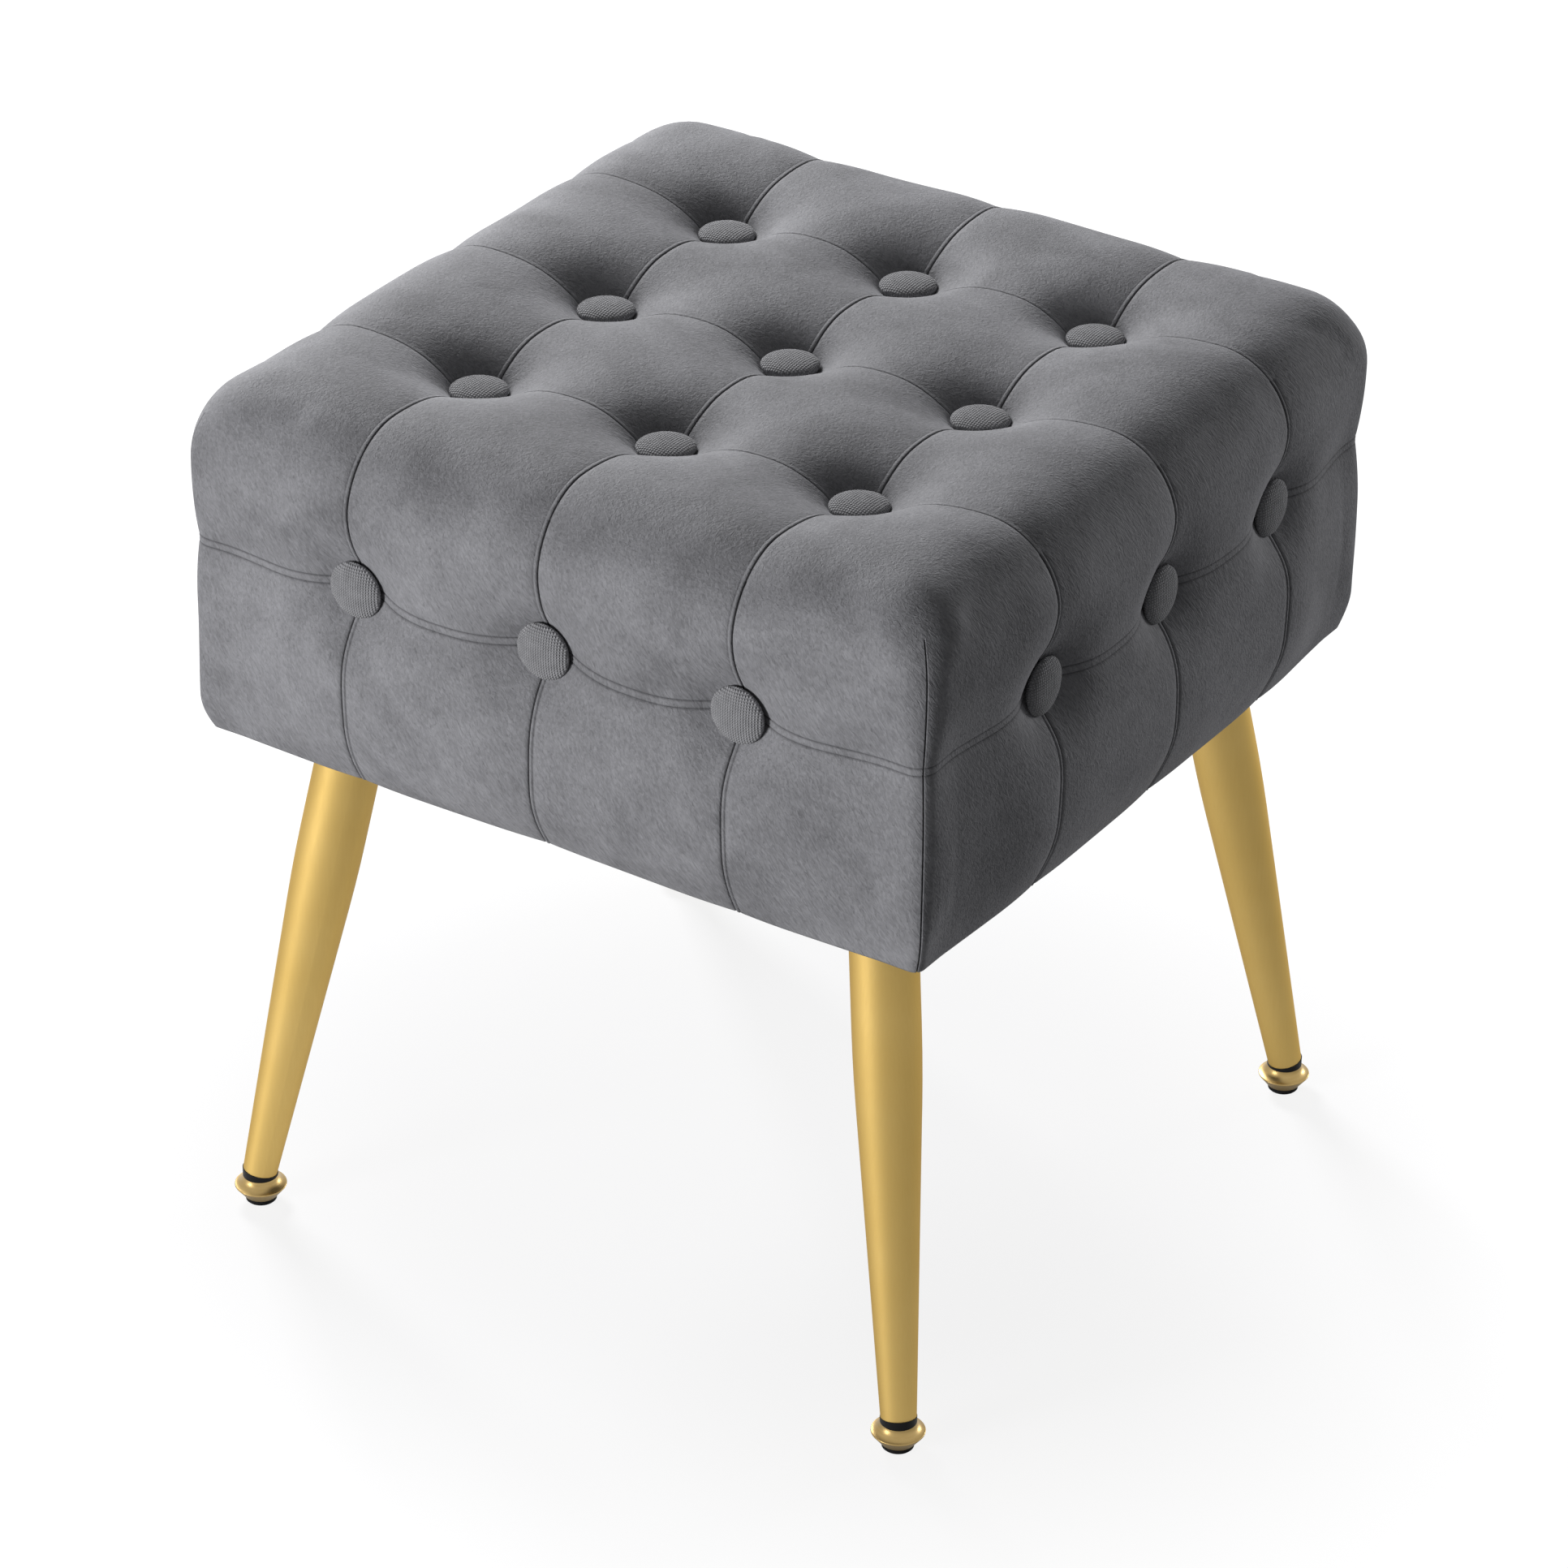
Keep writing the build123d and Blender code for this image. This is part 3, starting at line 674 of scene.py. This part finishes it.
def stitching(net):
    """How far stitches move each point outwards, and how much they darken it, with painted shade in the
    crevices.
    """
    on_top = net[:, 2] > crown_level - 0.01
    width = np.where(on_top, top_stitch_width, stitch_width)
    crevice_side = np.where(net[:, 2] > side_seam, 1.0, -1.0)
    rise = np.zeros(len(net))
    stitch_and_crevice_shade = np.zeros(len(net))
    for offset, gap, open_row, other_row in (
            (nearest_offset(net[:, 0], seams) * crevice_side, stitch_gap, 1.0,
             np.where(on_top, top_faint_row, faint_row)),
            (nearest_offset(net[:, 1], seams) * -crevice_side, stitch_gap,
             np.where(on_top, faint_seam, 1.0), np.where(on_top, 0.0, faint_row)),
            (nearest_offset(net[:, 2], [side_seam]), side_stitch_gap, side_row, side_row)):
        crevice = open_row * stitch_row(offset, gap, width)
        thread = np.maximum(crevice, other_row * stitch_row(offset, -gap, width))
        welt = welt_rise * (1 - smooth(np.abs(offset), gap - welt_edge, gap))
        rise += open_row * welt - stitch_sink * thread
        stitch_and_crevice_shade = np.maximum(stitch_and_crevice_shade, thread)
    corner = np.hypot(*(side_out - np.abs(net[:, :2])).T)
    closed = np.exp(-((corner / corner_seam_width) ** 2)) * ~on_top
    return rise - corner_seam_sink * closed, np.maximum(stitch_and_crevice_shade, closed)


rise, stitch_and_crevice_shade = stitching(fine_net)
top_distance, side_distance = tufting(fine_net)[1:]
rise -= top_pocket * (1 - smooth(top_distance, pocket_floor, pocket_edge))
rise -= side_pocket * (1 - smooth(side_distance, pocket_floor, pocket_edge))
cover_form += cover_out * rise[:, None]
print("stitches on", int((stitch_and_crevice_shade > 0.2).sum()), "points")

# %% The hem turned under, and the hollow for the frame
base_low, base_high = (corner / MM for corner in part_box("base_board"))
foam_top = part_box("top_foam_pad")[1].z / MM
lip_half = 172.0
hem_gap = 1.5
cloth_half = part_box("dust_cover")[1].x / MM + hem_gap
hollow_rings = ((cloth_half, hem_level), (lip_half, hem_level), (lip_half, base_low.z),
                (base_high.x, base_low.z), (base_high.x, foam_top))

points = [cover_form]
faces = [list(face) for face in fine_faces]
last_ring = fine_rings[-1]
count = len(cover_form)
plan = fine_net[last_ring, :2] / side_out
for half, level in hollow_rings:
    ring = count + np.arange(len(last_ring))
    points.append(np.column_stack((plan * half, np.full(len(ring), level))))
    faces += np.stack((last_ring, ring, np.roll(ring, -1), np.roll(last_ring, -1)), axis=-1).tolist()
    last_ring = ring
    count += len(ring)
points.append(np.array([[0.0, 0.0, foam_top]]))
faces += [[a, count, b] for a, b in zip(last_ring.tolist(), np.roll(last_ring, -1).tolist())]

cover = mesh_object("velvet_cover", np.concatenate(points), faces)
cover.data.shade_smooth()
# Painted shade: the attribute carries the crevices' and corner seams' darkening as well as the thread rows.
shade = np.zeros(count + 1, dtype=np.float32)
shade[:len(stitch_and_crevice_shade)] = stitch_and_crevice_shade
cover.data.attributes.new("stitch_and_shade", "FLOAT", "POINT").data.foreach_set("value", shade)
cover.data.materials.append(velvet)
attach(cover, "root")
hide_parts("tufted_cover")
print("cover:", len(cover.data.polygons), "faces")

# %% [markdown]
# ## Covered buttons
#
# A covered button is a domed metal shell with cloth pulled over it. It could be a squashed sphere, but its
# rim turns in sharply under the dome, so an outline is drawn once and spun round, and the copies are turned
# to face out of the top and the four sides. The ones on the sides are pulled in further, so their rim is
# lower. The cloth is stretched there, so its weave shows more than the pile.

# %% Material of the buttons
thread_pitch = 1.35
thread_height = 0.8
fuzz_size = 4.0
fuzz_share = 0.35

# The same cloth pulled tight over a shell: its threads stand out, paler on their crowns, with painted shade
# in the gaps.
canvas, tree, shader, place = start_material(
    "stretched_grey_cloth", Roughness=0.85, Sheen_Weight=0.15, Sheen_Roughness=0.5)
shader.inputs["Specular IOR Level"].default_value = 0.2
weave_place = add_node(tree, "UVMap", uv_map="weave").outputs["UV"]
# A plain weave drawn a little coarser than the real threads, so that it shows at this distance.
warp = add_node(tree, "TexWave", {"Vector": weave_place, "Scale": bands_per_metre(thread_pitch),
                                  "Distortion": 0.4}, bands_direction="X")
weft = add_node(tree, "TexWave", {"Vector": weave_place, "Scale": bands_per_metre(thread_pitch),
                                  "Distortion": 0.4}, bands_direction="Y")
threads = add_node(tree, "Math", {0: warp.outputs["Fac"], 1: weft.outputs["Fac"]}, operation="MULTIPLY")
fuzz = add_node(tree, "TexNoise", {"Vector": place, "Scale": per_metre(fuzz_size), "Detail": 3.0})
worn = add_node(tree, "Mix", {0: fuzz_share, 2: threads.outputs[0], 3: fuzz.outputs["Fac"]})
# Painted shade: the gaps between the threads get the darker grey, besides the cloth's own tone.
shell = add_node(tree, "Mix", {0: worn.outputs[0], 6: colour("#69696C"), 7: colour("#C6C6CA")},
                 data_type="RGBA")
tree.links.new(shell.outputs[2], shader.inputs["Base Color"])
weave = add_node(tree, "Bump", {"Strength": 1.0, "Distance": thread_height * MM,
                                "Height": threads.outputs[0]})
tree.links.new(weave.outputs["Normal"], shader.inputs["Normal"])
print(canvas.name, "has", len(tree.nodes), "nodes")

# %% One button, spun from its outline
dome_height = 3.8
dome_fullness = 2.1
top_rim = 5.0
side_rim = 3.0
back_radius = 11.0
waist_radius = 0.92 * button_radius
waist_share = 0.5
dome_steps = 9
spin_steps = 48


def spun(name, outline):
    """An object spun round z from (radius, height) points in millimetres that start and end on z."""
    path = np.array([(r, 0.0, h) for r, h in outline])
    made = mesh_object(name, path, [])
    made.data.edges.add(len(path) - 1)
    for i, edge in enumerate(made.data.edges):
        edge.vertices = (i, i + 1)
    bpy.ops.object.select_all(action="DESELECT")
    bpy.context.view_layer.objects.active = made
    made.select_set(True)
    bpy.ops.object.mode_set(mode="EDIT")
    bpy.ops.mesh.select_all(action="SELECT")
    bpy.ops.mesh.spin(steps=spin_steps, angle=math.tau, center=(0, 0, 0), axis=(0, 0, 1))
    bpy.ops.mesh.select_all(action="SELECT")
    bpy.ops.mesh.remove_doubles(threshold=0.01 * MM)
    bpy.ops.mesh.normals_make_consistent(inside=False)
    bpy.ops.object.mode_set(mode="OBJECT")
    made.data.shade_smooth()
    return made


def covered_button(name, rim):
    """A button whose widest circle is at this height over its back."""
    power = 2 / dome_fullness
    dome = [(button_radius * math.cos(a) ** power, rim + dome_height * math.sin(a) ** power)
            for a in np.linspace(0, math.pi / 2, dome_steps)]
    dome[-1] = (0.0, rim + dome_height)
    made = spun(name, [(0, 0), (back_radius, 0), (waist_radius, waist_share * rim), *dome])
    weave_map = made.data.uv_layers.new(name="weave")
    for loop in made.data.loops:
        weave_map.data[loop.index].uv = made.data.vertices[loop.vertex_index].co.xy
    made.data.materials.append(canvas)
    print(name, len(made.data.polygons), "faces")
    return made


top_button = covered_button("top_button", top_rim)
side_button = covered_button("side_button", side_rim)

# %% Copies of one piece, joined
def placed_copies(piece, places, turn):
    """Copies of a piece, each with its own mesh, turned alike and put at these places."""
    copies = []
    for place in places:
        copy = piece.copy()
        copy.data = piece.data.copy()
        bpy.context.scene.collection.objects.link(copy)
        copy.matrix_world = Matrix.Translation(Vector(place) * MM) @ turn
        copies.append(copy)
    return copies


def joined(name, pieces):
    """These pieces as one object at the origin, with its place in its mesh."""
    bpy.ops.object.select_all(action="DESELECT")
    for piece in pieces:
        piece.select_set(True)
    bpy.context.view_layer.objects.active = pieces[0]
    bpy.ops.object.join()
    bpy.ops.object.transform_apply(location=True, rotation=True, scale=True)
    bpy.context.object.name = name
    return bpy.context.object


# %% The buttons on the top and the four sides
def sew_buttons(node, button, places, turn):
    """Copies the button to these places, turned to face out, as one piece that stands for a node."""
    row = joined("covered_" + node, placed_copies(button, places, turn))
    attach(row, "root")
    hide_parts(node)
    print(row.name, len(places), "buttons")


top_places = [(x, y, top_button_back) for x in seams for y in seams]
sew_buttons("top_buttons", top_button, top_places, Matrix.Identity(4))
for quarter, side in enumerate(("front", "right", "back", "left")):
    turn = Matrix.Rotation(quarter * math.pi / 2, 4, "Z")
    side_places = [turn @ Vector((x, -side_button_back, side_seam)) for x in seams]
    sew_buttons(side + "_buttons", side_button, side_places, turn @ Matrix.Rotation(math.pi / 2, 4, "X"))
bpy.data.objects.remove(top_button)
bpy.data.objects.remove(side_button)

# %% [markdown]
# ## Brass, plastic and rubber
#
# The legs are drawn steel tube with a satin brass plate, and the flared feet are turned and polished. Brass
# on steel is a real metal, so the shader is metallic with the colour of its reflection, and the difference
# between satin and polished is only roughness and the size of the marks that the finishing left.

# %% Satin brass
brush_width = 1.2
brush_stretch = 0.04
haze_size = 40.0

# Plated and brushed along the tube: a broad soft highlight in faint upright streaks, with a slight haze.
satin_brass, tree, shader, place = start_material(
    "satin_brass_plate", Metallic=1.0, Coat_Weight=0.25, Coat_Roughness=0.35)
shader.inputs["Specular Tint"].default_value = colour("#9A8458")
stretch = add_node(tree, "Mapping", {"Vector": place, "Scale": (1.0, 1.0, brush_stretch)})
marks = add_node(tree, "TexNoise", {"Vector": stretch.outputs[0], "Scale": per_metre(brush_width),
                                    "Detail": 3.0})
haze = add_node(tree, "TexNoise", {"Vector": place, "Scale": per_metre(haze_size), "Detail": 2.0})
tone = add_node(tree, "Mix", {0: haze.outputs["Fac"], 6: colour("#C4A55C"), 7: colour("#CEB16D")},
                data_type="RGBA")
tree.links.new(tone.outputs[2], shader.inputs["Base Color"])
satin = add_node(tree, "MapRange", {"Value": marks.outputs["Fac"], "To Min": 0.5, "To Max": 0.62})
tree.links.new(satin.outputs["Result"], shader.inputs["Roughness"])
print(satin_brass.name, "has", len(tree.nodes), "nodes")

# %% Polished brass
turning_pitch = 0.8

# Turned on a lathe: a tighter highlight with fine rings round the foot.
polished_brass, tree, shader, place = start_material("polished_brass", Metallic=1.0)
turned = add_node(tree, "Mapping", {"Vector": place, "Scale": (0.1, 0.1, 1.0)})
rings = add_node(tree, "TexNoise", {"Vector": turned.outputs[0], "Scale": per_metre(turning_pitch),
                                    "Detail": 2.0})
tone = add_node(tree, "Mix", {0: rings.outputs["Fac"], 6: colour("#9E8451"), 7: colour("#B69D6B")},
                data_type="RGBA")
tree.links.new(tone.outputs[2], shader.inputs["Base Color"])
gloss = add_node(tree, "MapRange", {"Value": rings.outputs["Fac"], "To Min": 0.32, "To Max": 0.42})
tree.links.new(gloss.outputs["Result"], shader.inputs["Roughness"])
print(polished_brass.name, "has", len(tree.nodes), "nodes")

# %% Black plastic
mould_grain = 0.9

# Moulded polyethylene: a deep black whose spark-eroded grain breaks up the little gloss that it has.
black_plastic, tree, shader, place = start_material("moulded_black_plastic", IOR=1.5)
shader.inputs["Specular IOR Level"].default_value = 0.15
grain = add_node(tree, "TexNoise", {"Vector": place, "Scale": per_metre(mould_grain), "Detail": 2.0})
tone = add_node(tree, "Mix", {0: grain.outputs["Fac"], 6: colour("#0B0B0C"), 7: colour("#151517")},
                data_type="RGBA")
tree.links.new(tone.outputs[2], shader.inputs["Base Color"])
matt = add_node(tree, "MapRange", {"Value": grain.outputs["Fac"], "To Min": 0.4, "To Max": 0.6})
tree.links.new(matt.outputs["Result"], shader.inputs["Roughness"])
print(black_plastic.name, "has", len(tree.nodes), "nodes")

# %% Black rubber
dust_size = 3.0

# Pressed rubber: matt, and a shade paler where dust stays on it.
black_rubber, tree, shader, place = start_material("black_rubber", IOR=1.52)
shader.inputs["Specular IOR Level"].default_value = 0.15
dust = add_node(tree, "TexNoise", {"Vector": place, "Scale": per_metre(dust_size), "Detail": 4.0})
tone = add_node(tree, "Mix", {0: dust.outputs["Fac"], 6: colour("#0E0E0F"), 7: colour("#1A1A1B")},
                data_type="RGBA")
tree.links.new(tone.outputs[2], shader.inputs["Base Color"])
matt = add_node(tree, "MapRange", {"Value": dust.outputs["Fac"], "To Min": 0.7, "To Max": 0.9})
tree.links.new(matt.outputs["Result"], shader.inputs["Roughness"])
print(black_rubber.name, "has", len(tree.nodes), "nodes")

# %% [markdown]
# ## Wood, steel, twine and foam
#
# Inside the cover is a plain box of pine rails between plywood boards, screwed together, with foam on it
# and waxed twine through it. None of it shows in the photograph, but the part can be opened, so each has
# its finish: growth rings along the rails, a fine figure on the plywood, a bright zinc coat and an
# open-celled foam.

# %% Pine
ring_width = 7.0
fibre_height = 0.3

# Sawn across its growth: bands of pale early wood and of darker late wood, which stands a little proud.
softwood, tree, shader, place = start_material("sawn_pine", Roughness=0.65, IOR=1.45)
grown = add_node(tree, "Mapping", {"Vector": place, "Scale": (0.12, 0.12, 1.0)})
year_rings = add_node(tree, "TexWave", {"Vector": grown.outputs[0], "Scale": bands_per_metre(ring_width),
                                        "Distortion": 5.0, "Detail": 2.0, "Detail Scale": 0.6},
                      bands_direction="Z")
tone = add_node(tree, "Mix", {0: year_rings.outputs["Fac"], 6: colour("#D9B98A"), 7: colour("#BF9560")},
                data_type="RGBA")
tree.links.new(tone.outputs[2], shader.inputs["Base Color"])
fibre = add_node(tree, "Bump", {"Strength": 0.25, "Distance": fibre_height * MM,
                                "Height": year_rings.outputs["Fac"]})
tree.links.new(fibre.outputs["Normal"], shader.inputs["Normal"])
print(softwood.name, "has", len(tree.nodes), "nodes")

# %% Plywood
figure_width = 9.0

# Peeled birch: a pale face with a long, faint figure along one way.
plywood, tree, shader, place = start_material("birch_plywood", Roughness=0.6, IOR=1.45)
peeled = add_node(tree, "Mapping", {"Vector": place, "Scale": (0.06, 1.0, 6.0)})
figure = add_node(tree, "TexNoise", {"Vector": peeled.outputs[0], "Scale": per_metre(figure_width),
                                     "Detail": 4.0, "Distortion": 0.8})
tone = add_node(tree, "Mix", {0: figure.outputs["Fac"], 6: colour("#E2C79C"), 7: colour("#C7A273")},
                data_type="RGBA")
tree.links.new(tone.outputs[2], shader.inputs["Base Color"])
print(plywood.name, "has", len(tree.nodes), "nodes")

# %% Zinc-plated steel
spangle_size = 2.5

# Electroplated: a cool bright grey, a little cloudy in its gloss.
zinc_steel, tree, shader, place = start_material("bright_zinc_plate", Metallic=1.0)
spangle = add_node(tree, "TexNoise", {"Vector": place, "Scale": per_metre(spangle_size), "Detail": 3.0})
tone = add_node(tree, "Mix", {0: spangle.outputs["Fac"], 6: colour("#A9ABAE"), 7: colour("#C9CBCF")},
                data_type="RGBA")
tree.links.new(tone.outputs[2], shader.inputs["Base Color"])
coat = add_node(tree, "MapRange", {"Value": spangle.outputs["Fac"], "To Min": 0.28, "To Max": 0.45})
tree.links.new(coat.outputs["Result"], shader.inputs["Roughness"])
print(zinc_steel.name, "has", len(tree.nodes), "nodes")

# %% Twine
ply_pitch = 1.6

# Twisted and waxed flax: straw-coloured, with the slanting plies of the twist.
twine, tree, shader, place = start_material("waxed_twine", Roughness=0.6)
ply = add_node(tree, "TexWave", {"Vector": place, "Scale": bands_per_metre(ply_pitch)},
               bands_direction="DIAGONAL")
tone = add_node(tree, "Mix", {0: ply.outputs["Fac"], 6: colour("#B9AD94"), 7: colour("#E0D7C2")},
                data_type="RGBA")
tree.links.new(tone.outputs[2], shader.inputs["Base Color"])
print(twine.name, "has", len(tree.nodes), "nodes")

# %% Foam
cell_size = 1.5
cell_depth = 0.4

# Cut polyurethane: cream, matt all over and full of small open cells.
foam, tree, shader, place = start_material("open_cell_foam", Roughness=0.95)
cells = add_node(tree, "TexVoronoi", {"Vector": place, "Scale": per_metre(cell_size)})
tone = add_node(tree, "Mix", {0: cells.outputs["Distance"], 6: colour("#D8CFA8"), 7: colour("#F1EACB")},
                data_type="RGBA")
tree.links.new(tone.outputs[2], shader.inputs["Base Color"])
pores = add_node(tree, "Bump", {"Strength": 0.5, "Distance": cell_depth * MM,
                                "Height": cells.outputs["Distance"]})
tree.links.new(pores.outputs["Normal"], shader.inputs["Normal"])
print(foam.name, "has", len(tree.nodes), "nodes")

# %% Dust cloth
bond_pitch = 1.8
bond_depth = 0.2

# Spun-bonded cloth: a thin dull black with a net of pressed dots.
dust_cloth, tree, shader, place = start_material("black_spunbond_cloth", Roughness=0.8)
bonds = add_node(tree, "TexVoronoi", {"Vector": place, "Scale": per_metre(bond_pitch)},
                 feature="DISTANCE_TO_EDGE")
tone = add_node(tree, "Mix", {0: bonds.outputs["Distance"], 6: colour("#141415"), 7: colour("#2B2B2D")},
                data_type="RGBA")
tree.links.new(tone.outputs[2], shader.inputs["Base Color"])
dots = add_node(tree, "Bump", {"Strength": 0.4, "Distance": bond_depth * MM,
                               "Height": bonds.outputs["Distance"]})
tree.links.new(dots.outputs["Normal"], shader.inputs["Normal"])
print(dust_cloth.name, "has", len(tree.nodes), "nodes")

# %% [markdown]
# ## Foam pads
#
# The foam is cut in slabs from a block, so a pad has square faces and edges that have gone soft. A cube at
# the node's size, with its edges bevelled and the bevel smoothed, is enough where the cover hides it.

# %% Foam pads
foam_edge = 3.0
foam_edge_steps = 4


def foam_pad(node):
    """A soft-edged slab of foam in a node's place."""
    low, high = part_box(node)
    bpy.ops.object.select_all(action="DESELECT")
    bpy.ops.mesh.primitive_cube_add(size=1.0, location=(low + high) / 2, scale=high - low)
    pad = bpy.context.object
    pad.name = "soft_" + node
    bpy.ops.object.transform_apply(location=True, rotation=True, scale=True)
    bpy.ops.object.mode_set(mode="EDIT")
    bpy.ops.mesh.select_all(action="SELECT")
    bpy.ops.mesh.bevel(offset=foam_edge * MM, segments=foam_edge_steps, affect="EDGES")
    bpy.ops.object.mode_set(mode="OBJECT")
    pad.data.shade_smooth()
    pad.data.materials.append(foam)
    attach(pad, "root")
    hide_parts(node)
    return pad


for node in ("top_foam_pad", "front_foam", "back_foam", "left_foam", "right_foam"):
    print(foam_pad(node).name)

# %% [markdown]
# ## Dust cover
#
# Upholsterers close the underside with a thin black cloth, stapled round its edge. It is stretched, so it
# hangs by only a couple of millimetres in the middle. A grid with a shallow sag, thickened by a modifier,
# makes the cloth, and one staple is modelled and copied along the four edges.

# %% Dust cover
cloth_low, cloth_high = (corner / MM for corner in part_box("dust_cover"))
cloth_sag = 2.5
cloth_cuts = 60

bpy.ops.object.select_all(action="DESELECT")
bpy.ops.mesh.primitive_grid_add(x_subdivisions=cloth_cuts, y_subdivisions=cloth_cuts,
                                size=2 * cloth_high.x * MM, location=(0, 0, cloth_high.z * MM))
dust_sheet = bpy.context.object
dust_sheet.name = "dust_sheet"
bpy.ops.object.transform_apply(location=True, rotation=True, scale=True)
plate_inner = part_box("leg_plate_front_right")[0].x / MM
for vertex in dust_sheet.data.vertices:
    x, y = abs(vertex.co.x) / MM, abs(vertex.co.y) / MM
    hang = max(0.0, 1 - (max(x, y) / cloth_high.x) ** 2) * max(0.0, 1 - (min(x, y) / plate_inner) ** 2)
    vertex.co.z -= cloth_sag * hang * MM
thicken = dust_sheet.modifiers.new("thickness", "SOLIDIFY")
thicken.thickness = (cloth_high.z - cloth_low.z) * MM
thicken.offset = -1.0
bpy.ops.object.modifier_apply(modifier=thicken.name)
dust_sheet.data.shade_smooth()
dust_sheet.data.materials.append(dust_cloth)
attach(dust_sheet, "root")
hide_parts("dust_cover")
print("dust sheet:", len(dust_sheet.data.polygons), "faces")

# %% Staples round the dust cover
staple_length = 10.0
staple_wire = 0.9
staple_edge = 0.25 * staple_wire
staple_bite = 0.2 * staple_wire
staple_inset = 4.5
staple_spacing = 46.0
staple_count = 7


def staple_crown():
    """One staple's crown, a short flat wire with rounded edges."""
    bpy.ops.object.select_all(action="DESELECT")
    bpy.ops.mesh.primitive_cube_add(size=MM, scale=(staple_length, staple_wire, staple_wire))
    made = bpy.context.object
    bpy.ops.object.transform_apply(location=True, rotation=True, scale=True)
    bpy.ops.object.mode_set(mode="EDIT")
    bpy.ops.mesh.select_all(action="SELECT")
    bpy.ops.mesh.bevel(offset=staple_edge * MM, segments=2, affect="EDGES")
    bpy.ops.object.mode_set(mode="OBJECT")
    return made


crown = staple_crown()
staples = []
staple_line = cloth_high.x - staple_inset
steps = (np.arange(staple_count) - (staple_count - 1) / 2) * staple_spacing
for quarter in range(4):
    turn = Matrix.Rotation(quarter * math.pi / 2, 4, "Z")
    places = [turn @ Vector((along, -staple_line, cloth_low.z - staple_bite)) for along in steps]
    staples += placed_copies(crown, places, turn)
bpy.data.objects.remove(crown)
staple_row = joined("dust_sheet_staples", staples)
staple_row.data.materials.append(zinc_steel)
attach(staple_row, "root")
print("staples:", len(staples))

# %% [markdown]
# ## Finishes on the CAD pieces
#
# The rigid pieces keep their CAD meshes, which are exact. Each carries the name of its finish in the packed
# record, so the materials above go straight into its slots.

# %% Finishes
finishes = {
    "softwood": softwood, "plywood": plywood, "zinc_steel": zinc_steel, "twine": twine,
    "satin_brass": satin_brass, "polished_brass": polished_brass,
    "black_plastic": black_plastic, "black_rubber": black_rubber,
}
dressed = 0
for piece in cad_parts.values():
    for slot in piece.material_slots:
        finish = finishes.get(slot.material.name) if slot.material else None
        if finish:
            slot.material = finish
            dressed += 1
print("CAD pieces with a finish:", dressed)
